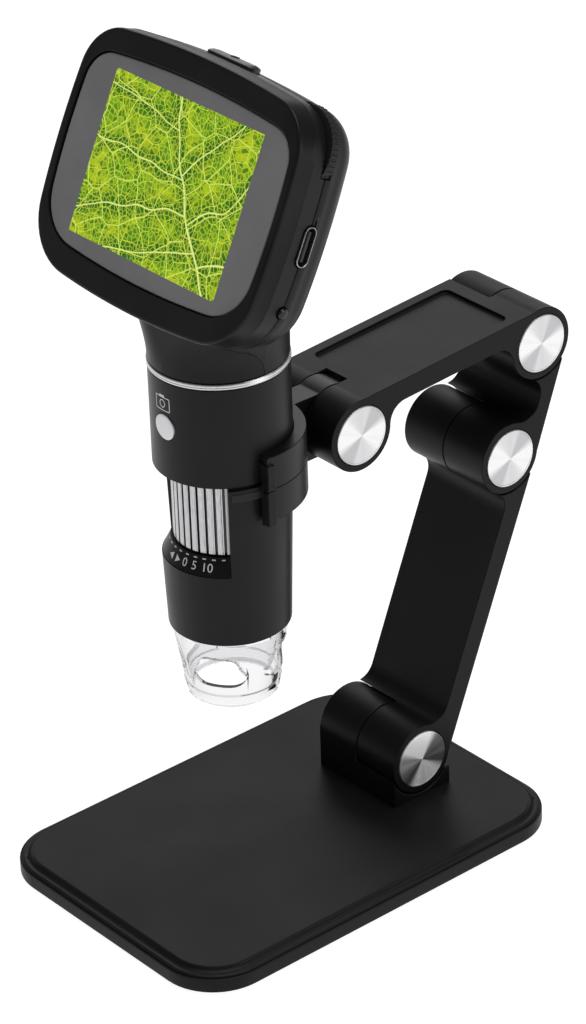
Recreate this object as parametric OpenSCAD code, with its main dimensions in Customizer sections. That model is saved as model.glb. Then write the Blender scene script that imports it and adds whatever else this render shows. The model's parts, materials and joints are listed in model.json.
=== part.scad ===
// LCD digital microscope in a clip, on a folding three-link stand.
// The stand's short side runs along X, its long side along Y with the front at -Y.
// Every hinge axis runs along X. Millimetres, +Z up.

/* [Base] */
// Length of the base plate, front to back
base_len = 110; // [104:1:130]
// Width of the base plate
base_wid = 78; // [74:1:100]
// Corner radius of the base plate
base_corner = 14; // [8:1:18]
// Height of the vertical side wall
base_wall_h = 4; // [3.6:0.1:6]
// Extra height of the flat top panel above the side wall
base_rise = 1; // [0.8:0.1:2]
// Distance of the top panel's edge from the base's edge
base_bevel = 3.2; // [2:0.1:6]
// Thickness of the base's side wall
base_wall = 2.4; // [1.6:0.1:4]
// Thickness of the cover under the base
base_cover_t = 1; // [0.8:0.1:1.2]
// Thickness of the steel weight
base_weight_t = 1.9; // [1:0.1:2]
// How far the rubber feet hold the base off the table
foot_h = 0.6; // [0.4:0.1:2]
// Radius of a rubber foot
foot_r = 5; // [3:0.5:7]

/* [Arms] */
// Width of the arms along their hinge axes
arm_w = 26.8; // [24:0.2:34]
// Radius of every hinge knuckle
knuckle_r = 8.8; // [8.4:0.1:10]
// Distance of the base hinge behind the base's centre
base_hinge_y = 32.3; // [26:0.5:42]
// Height of the base hinge above the base's top panel
base_hinge_rise = 10.1; // [9.6:0.1:14]
// Lower arm, hinge to hinge
lower_len = 75.6; // [66:0.2:95]
// Lean of the lower arm from upright, backwards
lower_lean = 22.6; // [18:0.2:26]
// Middle link, hinge to hinge
middle_len = 28.2; // [27.6:0.2:36]
// Lean of the middle link from upright, backwards
middle_lean = 20.8; // [16:0.2:24]
// Top arm, hinge to hinge
top_len = 55.2; // [52:0.2:70]
// Drop of the top arm below level, towards its front
top_drop = 3.5; // [0:0.1:6]
// Inner face of an arm's plate, from the line between its hinges
plate_in = 3.4; // [2.4:0.1:4.6]
// Inner face of the middle link's plate, from the line between its hinges
link_in = 4.7; // [3.4:0.1:5]
// Outer face of an arm's plate, inside the knuckle's radius
plate_inset = 0.2; // [0.1:0.1:0.6]
// Radius of the inside corner between a plate and its knuckle
arm_fillet = 4.6; // [3:0.1:5]
// Wall left round an arm's shallow recess
recess_wall = 2.8; // [2:0.1:4]
// Depth of an arm's shallow recess
recess_deep = 1.4; // [0.6:0.1:2]

/* [Hinges] */
// Radius of a hinge cap
cap_r = 7.1; // [6.4:0.1:7.4]
// How far a cap stands out of the arm's side
cap_proud = 0.3; // [0.1:0.1:0.8]
// Depth of the recess that holds a cap
cap_deep = 1.2; // [0.8:0.1:2]
// Radius of a hinge bolt's shank
bolt_r = 2; // [1.5:0.1:2.5]
// Radius of a hinge bolt's head
bolt_head_r = 3.5; // [3.2:0.1:4]
// Height of a hinge bolt's head
bolt_head_h = 2.4; // [1.6:0.1:3]
// Corner radius of a hinge nut
nut_r = 4.04; // [3.8:0.02:4.4]
// Thickness of a hinge nut
nut_h = 3.2; // [2:0.1:3.6]
// Radius of a friction washer
washer_r = 5; // [4.4:0.1:6]
// Depth that a friction washer sits in each knuckle
washer_seat = 0.35; // [0.2:0.05:0.5]
// Width of the clip's tongue in the top arm's slot
tongue_w = 6.5; // [5:0.1:8]

/* [Clip] */
// Distance from the front hinge to the microscope's axis
clip_reach = 28.9; // [28.7:0.1:34]
// Height of the clip's ring
clip_h = 15.8; // [12:0.2:17]
// Wall thickness of the clip's ring
clip_wall = 2.8; // [2:0.1:2.9]
// Angle that the ring's mouth stays open
clip_mouth = 164; // [150:1:170]
// Width of the lip at each end of the ring
lip_w = 3.2; // [2:0.1:4]
// How far a lip stands out of the ring
lip_proud = 0.7; // [0.3:0.1:1.2]

/* [Barrel] */
// Outside radius of the upper barrel
barrel_r = 15.75; // [15.5:0.05:17]
// Height of the upper barrel above the clip's middle
upper_top = 25; // [23:0.5:32]
// Height of the bright trim ring
trim_h = 1.5; // [1:0.1:2.5]
// Top radius of the lower barrel
lower_top_r = 15.5; // [15.3:0.05:15.5]
// Bottom radius of the lower barrel
lower_end_r = 14; // [13.8:0.1:15]
// Bottom of the lower barrel below the clip's middle
lower_drop = 40.3; // [39:0.1:46]
// Height of the joint between the two barrels above the clip's middle
joint_z = 0.7; // [0.5:0.1:1]
// Bottom of the focus window below the clip's middle
window_drop = 22.4; // [20:0.1:24]
// Centre of the focus window, as an angle round the barrel
window_mid = -98; // [-110:1:-85]
// Half of the focus window's angle
window_half = 62; // [40:1:66]
// Radius of the ring that locates the clip
stop_r = 16.5; // [16:0.1:16.8]
// Radius of the snapshot button
shutter_r = 3.2; // [2.5:0.1:3.6]
// Height of the snapshot button above the clip's middle
shutter_z = 13.7; // [12:0.1:16]
// How far the snapshot button stands out
shutter_proud = 0.8; // [0.7:0.1:1.5]

/* [Focus] */
// Radius of the focus wheel over its ribs
wheel_r = 11.9; // [11.2:0.1:12.1]
// Depth of the focus wheel's grooves
wheel_groove = 0.5; // [0.3:0.1:0.8]
// Number of ribs on the focus wheel
wheel_ribs = 36; // [24:2:44]
// Bottom of the focus wheel below the clip's middle
wheel_drop = 17.2; // [15:0.1:18]
// Radius of the sliding lens tube
tube_r = 9.5; // [8.6:0.1:9.8]
// Travel of the lens tube each way
focus_travel = 3; // [1:0.5:3]
// Thickness of the objective lens
lens_t = 3; // [2:0.1:4]

/* [Hood] */
// Top radius of the clear hood
hood_top_r = 13.4; // [12.8:0.1:13.8]
// Bottom radius of the clear hood
hood_end_r = 10.6; // [9.5:0.1:12]
// Height of the clear hood below the barrel
hood_h = 18.2; // [14:0.2:24]
// Wall thickness of the clear hood
hood_wall = 1.2; // [0.9:0.1:1.6]
// Height of the closed band at the hood's bottom
hood_band = 4.6; // [3:0.1:6]
// Number of arched windows in the hood
hood_arches = 4; // [3:1:5]

/* [Head] */
// Width of the display head
head_w = 74; // [72:0.5:84]
// Height of the display head
head_h = 56.8; // [56:0.2:64]
// Depth of the display head behind the glass
head_d = 19; // [18:0.2:24]
// Radius of the head's upper corners
head_top_r = 13; // [10:0.5:18]
// Radius of the head's lower corners
head_low_r = 16; // [10:0.5:20]
// Depth of the joint between the front and back shells
seam_d = 8.9; // [8.7:0.1:9.2]
// Tilt of the screen back from upright
head_tilt = 25.4; // [18:0.2:30]
// Height of the screen's centre above the clip's middle
head_z = 70.9; // [69:0.1:80]
// Distance of the screen's centre in front of the barrel's axis
head_y = 12.4; // [10:0.1:14]
// Wall thickness of the head's shells
head_wall = 1.6; // [1.2:0.1:2]
// Width of the screen glass
glass_w = 68.2; // [66:0.1:69]
// Height of the screen glass
glass_h = 44.6; // [43:0.1:48]
// Thickness of the screen glass
glass_t = 1.2; // [0.8:0.1:1.6]
// Width of the display module
lcd_w = 53.4; // [50:0.2:54]
// Height of the display module
lcd_h = 38.4; // [37.6:0.1:38.8]
// Thickness of the display module
lcd_t = 3; // [2:0.1:3.4]

/* [Controls] */
// Length of the power button
power_l = 16.6; // [12:0.2:20]
// Width of the power button
power_w = 4.4; // [3:0.1:5]
// How far the power button stands out
power_proud = 0.8; // [0.7:0.1:1.4]
// Radius of the dimmer wheel
dimmer_r = 9.2; // [8.6:0.1:9.6]
// Thickness of the dimmer wheel
dimmer_t = 2.2; // [1.6:0.1:2.6]
// Number of notches round the dimmer wheel
dimmer_notches = 48; // [24:2:60]
// Length of the charging socket
usb_l = 8.94; // [8.5:0.02:9.2]
// Width of the charging socket
usb_w = 3.26; // [3:0.02:3.4]
// Depth of the charging socket
usb_deep = 7.3; // [6:0.1:8]
// Radius of the status light
lamp_r = 1.25; // [0.8:0.05:1.5]

/* [Hidden] */
$fn = 96;
e = 0.01;                    // thickness of the slices that a hull joins
over = 1;                    // how far a cut runs past a face
gap = 0.3;                   // between pieces that move past each other
fit = 0.15;                  // round a piece that drops into a recess
run = 0.06;                  // radial clearance of a shaft that turns
slide_fit = 0.1;             // radial clearance of a piece that slides
seat_gap = 0.4;              // round a knuckle, in its neighbour's seat
tip = 0.03;                  // flat left at the end of an inside corner

half_w = arm_w / 2;
base_h = base_wall_h + base_rise;
plate_out = knuckle_r - plate_inset;
seat_r = knuckle_r + seat_gap;
slot_r = knuckle_r + 1.2;

// Hinge axes in the Y-Z plane, measured from the base plate's centre
hinge_a = [base_hinge_y, foot_h + base_h + base_hinge_rise];
hinge_b = hinge_a + lower_len * [sin(lower_lean), cos(lower_lean)];
hinge_c = hinge_b + middle_len * [sin(middle_lean), cos(middle_lean)];
hinge_d = hinge_c - top_len * [cos(top_drop), sin(top_drop)];
// The part stands with the middle of its outline over the origin
shift_y = (base_len / 2 - (hinge_c[0] + knuckle_r)) / 2;

bolt_seat = half_w - cap_deep - bolt_head_h - 0.4;
nut_seat = half_w - cap_deep - nut_h - 0.1;
bolt_pocket_r = bolt_head_r + 0.4;
nut_pocket_r = nut_r + 0.12;
washer_play = 0.06;
washer_t = gap + 2 * washer_seat - washer_play;

scope_y = hinge_d[0] - clip_reach;
scope_z = hinge_d[1];
clip_ri = barrel_r + slide_fit;
clip_ro = clip_ri + clip_wall;
stop_lo = joint_z - 1.7;
lower_bot = -lower_drop;
window_lo = -window_drop;
wheel_lo = -wheel_drop;
wheel_hi = 3;
spigot_r = barrel_r - 1.85;
spigot_ri = spigot_r - 1.5;
spigot_hi = 8;
board_t = 1.2;
chamber_r = 12.2;
chamber_top_r = 13.2;
lip_ri = 11.2;
lip_t = 1.8;
trim_top = upper_top + trim_h;
hood_arch_w = 8.4;
led_ring_r = 8.4;
led_r = 1.3;
led_count = 8;

head_rise = head_h / 2;
glass_r_top = 9;
glass_r_low = 12.5;
rim_up = 0.4;
band_d = 4;
board_d = seam_d - usb_w / 2 - board_t;
pcb_w = head_w - 8;
pcb_h = head_h - 6.8;
battery_l = pcb_w / 2 + 1;
battery_w = pcb_h / 2;
battery_t = (head_d - head_wall - board_d - board_t) / 2;
post_top = [13.5, head_rise - 5.5];
post_low = [head_w / 2 - 5.6, head_rise - 14.8];
post_r = 2.1;
screw_r = 0.9;
dimmer_u = head_w / 2 - 9.3;
dimmer_v = head_rise - 10.6;
neck_w = 44;
rim_r = 1.4;
band_in = 0.5;
back_in = 0.3;
back_r = 6.7;
lamp_v = -15.9;
usb_v = -1.1;
neck_z = upper_top - 5;

black = [0.07, 0.07, 0.08];
dark = [0.13, 0.13, 0.14];
silver = [0.86, 0.87, 0.88];
steel = [0.62, 0.63, 0.65];
clear = [0.9, 0.92, 0.94, 0.4];
board_green = [0.05, 0.28, 0.14];

// ---- shared shapes ----

// Rounded rectangle, centred
module round_rect(w, h, r) {
    square([w - 2 * r, h], center = true);
    square([w, h - 2 * r], center = true);
    for (x = [-1, 1], y = [-1, 1])
        translate([x * (w / 2 - r), y * (h / 2 - r)]) circle(r);
}

// Rounded rectangle with its own radius for the two upper and two lower corners
module head_rect(w, h, r_top, r_low) {
    translate([-w / 2, -h / 2 + r_low]) square([w, h - r_top - r_low]);
    translate([-w / 2 + r_top, 0]) square([w - 2 * r_top, h / 2]);
    translate([-w / 2 + r_low, -h / 2]) square([w - 2 * r_low, h / 2]);
    for (x = [-1, 1]) {
        translate([x * (w / 2 - r_top), h / 2 - r_top]) circle(r_top);
        translate([x * (w / 2 - r_low), -h / 2 + r_low]) circle(r_low);
    }
}

// Extrudes an outline drawn in Y and Z from x0 to x1
module extrude_x(x0, x1) {
    translate([x0, 0, 0]) rotate([90, 0, 90]) linear_extrude(x1 - x0) children();
}

// Extrudes an outline drawn in X and Z from y0 to y1
module extrude_y(y0, y1) {
    translate([0, y1, 0]) rotate([90, 0, 0]) linear_extrude(y1 - y0) children();
}

// Moves a section out to r and keeps what is on the positive side of the axis
module half_profile(r) {
    intersection() {
        translate([r, 0]) children();
        translate([0, -60]) square([200, 120]);
    }
}

// Cylinder along X from x0 to x1
module rod_x(r, x0, x1) {
    translate([x0, 0, 0]) rotate([0, 90, 0]) cylinder(r = r, h = x1 - x0);
}

// Six-sided prism along X from x0 to x1
module hex_x(r, x0, x1) {
    translate([x0, 0, 0]) rotate([0, 90, 0]) cylinder(r = r, h = x1 - x0, $fn = 6);
}

module tube(ro, ri, z0, z1) {
    translate([0, 0, z0]) difference() {
        cylinder(r = ro, h = z1 - z0);
        translate([0, 0, -over]) cylinder(r = ri, h = z1 - z0 + 2 * over);
    }
}

// Sector of a circle, from angle a0 to a1
module sector(r, a0, a1) {
    steps = 12;
    polygon(concat([[0, 0]],
        [for (i = [0 : steps]) let (a = a0 + (a1 - a0) * i / steps) r * [cos(a), sin(a)]]));
}

// Places a piece that is drawn about a hinge's axis
module at_hinge(h) {
    translate([0, shift_y + h[0], h[1]]) children();
}

module on_base() {
    translate([0, shift_y, foot_h]) children();
}

// The three arms are drawn upright, with the lower hinge at the origin and the plate at +Y
module as_lower() { at_hinge(hinge_a) rotate([-lower_lean, 0, 0]) children(); }
module as_middle() { at_hinge(hinge_b) rotate([-middle_lean, 0, 0]) children(); }
module as_top() { at_hinge(hinge_c) rotate([90 + top_drop, 0, 0]) children(); }

// The microscope is drawn about its barrel's axis, with z = 0 at the clip's middle
module as_scope() { translate([0, shift_y + scope_y, scope_z]) children(); }

// The head is drawn flat: X across the screen, Y up it, Z out of the glass
module as_head() {
    as_scope() translate([0, -head_y, head_z]) rotate([90 - head_tilt, 0, 0]) children();
}

// ---- hinges ----

// Solid arm: two knuckles, and a plate with rounded inside corners behind them
module arm_body(len, face, r) {
    side = face - r - tip;
    away = sqrt(pow(knuckle_r + r + tip, 2) - side * side);
    rod_x(knuckle_r, -half_w, half_w);
    translate([0, 0, len]) rod_x(knuckle_r, -half_w, half_w);
    difference() {
        extrude_x(-half_w, half_w) polygon([[0, 0], [side, away], [face, away],
            [face, len - away], [side, len - away], [0, len], [plate_out, len], [plate_out, 0]]);
        translate([0, side, away]) rod_x(r, -half_w - over, half_w + over);
        translate([0, side, len - away]) rod_x(r, -half_w - over, half_w + over);
    }
}

// What is cut from the knuckle on the near side: cap recess, bolt head pocket and shank bore
module near_cuts(inner) {
    rod_x(cap_r + fit, half_w - cap_deep, half_w + over);
    rod_x(bolt_pocket_r, bolt_seat, half_w);
    rod_x(bolt_r + run, inner - over, half_w);
    rod_x(washer_r + fit, inner - over, inner + washer_seat);
}

// The same on the far side, with a hexagonal pocket for the nut
module far_cuts(inner) {
    rod_x(cap_r + fit, -half_w - over, -half_w + cap_deep);
    hex_x(nut_pocket_r, -half_w, -nut_seat);
    rod_x(bolt_r + run, -half_w, -inner + over);
    rod_x(washer_r + fit, -inner - washer_seat, -inner + over);
}

module hinge_cap() {
    color(silver) difference() {
        rod_x(cap_r, half_w - cap_deep, half_w + cap_proud);
        rod_x(cap_r - 1.5, half_w - cap_deep - over, half_w - cap_deep + 0.3);
    }
}

module hinge_far_cap() {
    mirror([1, 0, 0]) hinge_cap();
}

module hinge_bolt() {
    color(steel) difference() {
        union() {
            rod_x(bolt_r, -half_w + cap_deep + 0.3, bolt_seat + e);
            rod_x(bolt_head_r, bolt_seat, bolt_seat + bolt_head_h);
        }
        hex_x(1.7, bolt_seat + bolt_head_h - 1.2, bolt_seat + bolt_head_h + over);
    }
}

module hinge_nut() {
    color(steel) difference() {
        hex_x(nut_r, -nut_seat - nut_h, -nut_seat);
        rod_x(bolt_r + 0.02, -nut_seat - nut_h - over, -nut_seat + over);
    }
}

// Friction washer whose middle is at x = mid
module friction_washer(mid) {
    color(dark) difference() {
        rod_x(washer_r, mid - washer_t / 2, mid + washer_t / 2);
        rod_x(bolt_r + run, mid - washer_t, mid + washer_t);
    }
}

// ---- stand ----

module base_outline(inset) {
    round_rect(base_wid - 2 * inset, base_len - 2 * inset, base_corner - inset);
}

screw_x = base_wid / 2 - 9;
screw_y = base_len / 2 - 26;
foot_x = base_wid / 2 - 11;
foot_y = base_len / 2 - 11;
boss_r = 3;
cavity_top = base_cover_t + base_weight_t + 0.1;
base_edge = 0.7;

// Profile of the lug that carries the lower arm, about the base hinge
module lug_outline() {
    circle(knuckle_r);
    translate([-knuckle_r, -base_hinge_rise - base_rise / 2])
        square([knuckle_r, base_hinge_rise + base_rise / 2]);
    translate([-e, -base_hinge_rise - base_rise / 2])
        square([knuckle_r + e, base_hinge_rise + base_rise / 2 - 5.6]);
}

// Half of the top panel's section, drawn with the base's side at x = 0
module panel_profile() {
    polygon([[-base_len, base_wall_h - e], [-base_edge, base_wall_h - e],
        [-base_bevel, base_h], [-base_len, base_h]]);
}

// Top panel with its bevel, as cones at the corners and prisms between them
module base_panel() {
    dx = base_wid / 2 - base_corner;
    dy = base_len / 2 - base_corner;
    for (x = [-1, 1], y = [-1, 1]) translate([x * dx, y * dy, 0]) rotate_extrude()
        half_profile(base_corner) panel_profile();
    for (m = [0, 1]) {
        mirror([m, 0, 0]) extrude_y(-dy, dy) half_profile(base_wid / 2) panel_profile();
        mirror([0, m, 0]) extrude_x(-dx, dx) half_profile(base_len / 2) panel_profile();
    }
}

module base_plate() {
    color(black) difference() {
        union() {
            on_base() {
                linear_extrude(base_wall_h) base_outline(0);
                base_panel();
            }
            at_hinge(hinge_a) extrude_x(-half_w, half_w) lug_outline();
        }
        on_base() {
            translate([0, 0, -over]) linear_extrude(cavity_top + over) difference() {
                base_outline(base_wall);
                for (x = [-1, 1], y = [-1, 1]) translate([x * screw_x, y * screw_y]) circle(boss_r);
            }
            for (x = [-1, 1], y = [-1, 1]) translate([x * screw_x, y * screw_y, -over]) {
                cylinder(r = boss_r + over, h = base_cover_t + over);
                cylinder(r = screw_r, h = base_wall_h + over - 0.6);
            }
        }
        at_hinge(hinge_a) {
            rod_x(seat_r, -gap / 2, half_w + over);
            far_cuts(gap / 2);
        }
    }
}

module base_weight() {
    color(steel) on_base() translate([0, 0, base_cover_t]) linear_extrude(base_weight_t)
        difference() {
            base_outline(base_wall + fit);
            for (x = [-1, 1], y = [-1, 1])
                translate([x * screw_x, y * screw_y]) circle(boss_r + gap);
        }
}

module base_cover() {
    color(dark) on_base() difference() {
        linear_extrude(base_cover_t) base_outline(base_wall + fit);
        for (x = [-1, 1], y = [-1, 1]) {
            translate([x * screw_x, y * screw_y, -over])
                cylinder(r = screw_r + 0.2, h = base_cover_t + 2 * over);
            translate([x * screw_x, y * screw_y, -over]) cylinder(r = 2.2, h = 0.4 + over);
            translate([x * foot_x, y * foot_y, -over]) cylinder(r = foot_r + fit, h = 0.4 + over);
        }
    }
}

module base_feet() {
    color(dark) on_base() for (x = [-1, 1], y = [-1, 1])
        translate([x * foot_x, y * foot_y, -foot_h]) cylinder(r = foot_r, h = foot_h + 0.4);
}

module base_screws() {
    color(steel) on_base() for (x = [-1, 1], y = [-1, 1])
        translate([x * screw_x, y * screw_y, 0]) {
            cylinder(r = 2, h = 0.4);
            translate([0, 0, 0.4 - e]) cylinder(r = screw_r - 0.05, h = base_wall_h - 1.2);
        }
}

module lower_arm() {
    color(black) as_lower() difference() {
        arm_body(lower_len, plate_in, arm_fillet);
        rod_x(seat_r, -half_w - over, gap / 2);
        near_cuts(gap / 2);
        translate([0, 0, lower_len]) {
            rod_x(seat_r, -gap / 2, half_w + over);
            far_cuts(gap / 2);
        }
        translate([0, plate_in + recess_deep, lower_len / 2]) rotate([90, 0, 0])
            linear_extrude(recess_deep + knuckle_r)
                round_rect(arm_w - 2 * recess_wall, lower_len - 2 * (seat_r + arm_fillet), 2);
    }
}

module middle_link() {
    color(black) as_middle() difference() {
        arm_body(middle_len, link_in, arm_fillet);
        rod_x(seat_r, -half_w - over, gap / 2);
        near_cuts(gap / 2);
        translate([0, 0, middle_len]) {
            rod_x(seat_r, -gap / 2, half_w + over);
            far_cuts(gap / 2);
        }
    }
}

module top_arm() {
    cheek = tongue_w / 2 + gap;
    recess_l = top_len - 2 * knuckle_r + 3.2;
    color(black) as_top() difference() {
        arm_body(top_len, plate_in, arm_fillet);
        rod_x(seat_r, -half_w - over, gap / 2);
        near_cuts(gap / 2);
        translate([0, 0, top_len]) {
            rod_x(slot_r, -cheek, cheek);
            near_cuts(cheek);
            far_cuts(cheek);
        }
        translate([0, plate_out + over, top_len / 2]) rotate([90, 0, 0])
            linear_extrude(recess_deep + over)
                round_rect(arm_w - 2 * recess_wall, recess_l, 1.6);
    }
}

// ---- clip ----

module clip_tongue() {
    low = -clip_h / 2;
    translate([clip_reach, 0]) circle(knuckle_r);
    translate([clip_ro - clip_wall / 2, low])
        square([clip_reach - clip_ro + clip_wall / 2, clip_h]);
}

module clip() {
    a0 = 90 - (360 - clip_mouth) / 2;
    half = clip_h / 2;
    color(black) as_scope() difference() {
        union() {
            difference() {
                tube(clip_ro, clip_ri, -half, half);
                translate([0, 0, -half - over]) linear_extrude(clip_h + 2 * over)
                    sector(2 * clip_ro, a0 - clip_mouth, a0);
            }
            for (m = [0, 1]) mirror([m, 0, 0]) rotate([0, 0, a0])
                translate([clip_ri + 0.2, -lip_w / 2, -half - 0.6])
                    cube([clip_wall - 0.2 + lip_proud, lip_w, clip_h + 0.2]);
            difference() {
                extrude_x(-tongue_w / 2, tongue_w / 2) clip_tongue();
                translate([0, 0, -half - over])
                    cylinder(r = clip_ri + clip_wall / 2, h = clip_h + 2 * over);
            }
        }
        tube(stop_r + gap, barrel_r - 2, stop_lo - gap, joint_z + gap);
        translate([0, clip_reach, 0]) {
            rod_x(bolt_r + run, -tongue_w, tongue_w);
            for (m = [0, 1]) mirror([m, 0, 0])
                rod_x(washer_r + fit, tongue_w / 2 - washer_seat, tongue_w);
        }
    }
}

// ---- barrel ----

module window_sector(r, z0, z1) {
    translate([0, 0, z0]) linear_extrude(z1 - z0)
        sector(r, window_mid - window_half, window_mid + window_half);
}

module upper_barrel() {
    color(black) as_scope() difference() {
        tube(barrel_r, spigot_r + slide_fit, joint_z, upper_top);
        translate([0, 0, shutter_z]) rotate([90, 0, 0])
            cylinder(r = shutter_r + slide_fit, h = 2 * barrel_r);
    }
}

module lower_barrel() {
    color(black) as_scope() difference() {
        union() {
            translate([0, 0, lower_bot])
                cylinder(r1 = lower_end_r, r2 = lower_top_r, h = lower_drop + joint_z - 2 * e);
            translate([0, 0, stop_lo]) cylinder(r = stop_r, h = joint_z - stop_lo - 0.3);
            translate([0, 0, joint_z - 2 * e]) cylinder(r = spigot_r, h = spigot_hi - joint_z + 2 * e);
        }
        translate([0, 0, lower_bot + lip_t]) cylinder(r = chamber_r, h = lower_drop + over);
        translate([0, 0, window_lo]) cylinder(r = spigot_ri + 0.35, h = window_drop + over);
        translate([0, 0, 0]) cylinder(r = spigot_ri, h = spigot_hi + over);
        translate([0, 0, lower_bot - over]) cylinder(r = lip_ri, h = lip_t + 2 * over);
        window_sector(3 * barrel_r, window_lo, joint_z - 2 * e);
    }
}

module trim_ring() {
    color(silver) as_scope() tube(barrel_r + 0.15, spigot_r + slide_fit, upper_top, trim_top);
}

module snapshot_button() {
    color(silver) as_scope() translate([0, 0, shutter_z]) rotate([90, 0, 0]) {
        translate([0, 0, 13]) cylinder(r = shutter_r, h = barrel_r + shutter_proud - 13);
        translate([0, 0, 12.6]) cylinder(r = shutter_r + 0.8, h = 0.6);
    }
}

module snapshot_switch() {
    color(board_green) as_scope() difference() {
        union() {
            translate([-5, -9.6, spigot_hi + board_t]) cube([10, 1, 11]);
            translate([-3, -11.9, shutter_z - 3]) cube([6, 2.4, 6]);
        }
    }
}

module focus_wheel() {
    pitch = 360 / wheel_ribs;
    color(silver) as_scope() difference() {
        tube(wheel_r, tube_r + slide_fit, wheel_lo, wheel_hi);
        for (i = [0 : wheel_ribs - 1]) rotate([0, 0, i * pitch])
            translate([wheel_r, 0, wheel_lo - over])
                cylinder(r = wheel_groove, h = wheel_hi - wheel_lo + 2 * over, $fn = 16);
    }
}

module scale_ring() {
    inner = tube_r + 0.9;
    rim = spigot_ri + 0.15;
    color(black) as_scope() difference() {
        union() {
            translate([0, 0, window_lo]) cylinder(r = rim, h = window_drop - wheel_drop - gap);
            intersection() {
                translate([0, 0, window_lo + e])
                    cylinder(r1 = 14.5, r2 = rim - 0.5, h = window_drop - wheel_drop - gap - e);
                window_sector(2 * barrel_r, window_lo, wheel_lo);
            }
        }
        translate([0, 0, window_lo - over]) cylinder(r = inner, h = window_drop);
    }
}

lens_lo = -30;
tube_hi = spigot_hi - focus_travel - 0.5;

module lens_tube() {
    color(dark) as_scope() difference() {
        translate([0, 0, lens_lo]) cylinder(r = tube_r, h = tube_hi - lens_lo);
        translate([0, 0, lens_lo - over]) cylinder(r = tube_r - 1, h = lens_t + over);
        translate([0, 0, lens_lo]) cylinder(r = tube_r - 2, h = tube_hi - lens_lo + over);
    }
}

module objective_lens() {
    bulge = 0.9;
    r = tube_r - 1;
    ball = (r * r + bulge * bulge) / (2 * bulge);
    color(clear) as_scope() union() {
        translate([0, 0, lens_lo + bulge]) cylinder(r = r, h = lens_t - bulge);
        intersection() {
            translate([0, 0, lens_lo]) cylinder(r = r, h = lens_t);
            translate([0, 0, lens_lo + ball]) sphere(ball);
        }
    }
}

module sensor_board() {
    color(board_green) as_scope() {
        translate([0, 0, spigot_hi]) cylinder(r = spigot_r, h = board_t);
        translate([-4, -4, spigot_hi + board_t - e]) cube([8, 8, 1.5]);
    }
}

module led_board() {
    color([0.92, 0.92, 0.9]) as_scope()
        tube(chamber_r - 0.1, 6.5, lower_bot + lip_t, lower_bot + lip_t + board_t);
}

module leds() {
    color([0.98, 0.96, 0.8]) as_scope() for (i = [0 : led_count - 1])
        rotate([0, 0, (i + 0.5) * 360 / led_count])
            translate([led_ring_r, 0, lower_bot + lip_t]) {
                translate([0, 0, -led_r - 0.1]) cylinder(r = led_r, h = led_r + 0.1);
                translate([0, 0, -led_r - 0.1]) sphere(led_r);
            }
}

// Outside or inside of the hood, as a cone that ends in a rounded rim
module hood_form(inset) {
    top = lower_bot - 0.1;
    bot = top - hood_h;
    round_r = 2.6 - inset;
    rotate_extrude() {
        polygon([[0, top - inset], [hood_top_r - inset, top - inset],
            [hood_end_r - inset, bot + 2.6], [0, bot + 2.6]]);
        translate([0, bot + inset]) square([hood_end_r - 2.6, 2.7]);
        intersection() {
            translate([hood_end_r - 2.6, bot + 2.6]) circle(round_r);
            translate([0, bot]) square([2 * hood_top_r, hood_h]);
        }
    }
}

module clear_hood() {
    top = lower_bot - 0.1;
    bot = top - hood_h;
    arch_lo = bot + hood_band;
    arch_hi = top - 4;
    arch_r = hood_arch_w / 2;
    color(clear) as_scope() difference() {
        union() {
            hood_form(0);
            translate([0, 0, top - e]) cylinder(r = lip_ri - slide_fit, h = lip_t - 0.1);
        }
        hood_form(hood_wall);
        translate([0, 0, top - 2]) cylinder(r = lip_ri - 1.1, h = lip_t + 3);
        translate([0, 0, bot - over]) cylinder(r = hood_end_r - 3.4, h = 4);
        for (i = [0 : hood_arches - 1]) rotate([0, 0, -55 + i * 360 / hood_arches])
            rotate([90, 0, 90]) linear_extrude(2 * hood_top_r) {
                translate([-arch_r, arch_lo]) square([2 * arch_r, arch_hi - arch_lo - arch_r]);
                translate([0, arch_hi - arch_r]) circle(arch_r);
            }
    }
}

// ---- head ----

// Slice of the head's outline, inset all round, between two depths
module head_slab(inset, z0, z1) {
    translate([0, 0, z0]) linear_extrude(z1 - z0)
        head_rect(head_w - 2 * inset, head_h - 2 * inset, head_top_r - inset, head_low_r - inset);
}

// Sweeps a section, drawn with the head's side at x = 0, round the head's outline
module swept_head() {
    tx = head_w / 2 - head_top_r;
    lx = head_w / 2 - head_low_r;
    ty = head_rise - head_top_r;
    ly = head_rise - head_low_r;
    for (m = [0, 1]) mirror([m, 0, 0]) {
        translate([tx, ty, 0]) rotate_extrude() half_profile(head_top_r) children();
        translate([lx, -ly, 0]) rotate_extrude() half_profile(head_low_r) children();
        extrude_y(-ly, ty) half_profile(head_w / 2) children();
    }
    extrude_x(-tx, tx) half_profile(head_rise) children();
    mirror([0, 1, 0]) extrude_x(-lx, lx) half_profile(head_rise) children();
}

// Section of the front shell's rim, from the seam to the front
module front_profile() {
    polygon([[-100, rim_up], [-band_in - rim_r, rim_up], [-band_in, rim_up - rim_r],
        [-0.35, -band_d], [0, -seam_d], [-100, -seam_d]]);
    translate([-band_in - rim_r, rim_up - rim_r]) circle(rim_r);
}

// Section of the back shell, inset all round; a cavity starts a little above the seam
module back_profile(inset) {
    low = -head_d + back_r;
    top = -seam_d + (inset > 0 ? over : 0);
    polygon([[-100, top], [-inset, top], [-back_in - inset, low], [-back_in - back_r, low],
        [-back_in - back_r, -head_d + inset], [-100, -head_d + inset]]);
    intersection() {
        translate([-back_in - back_r, low]) circle(back_r - inset);
        translate([-back_in - back_r - e, -head_d]) square([back_r + over, back_r]);
    }
}

module back_form(inset) {
    swept_head() back_profile(inset);
}

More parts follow.
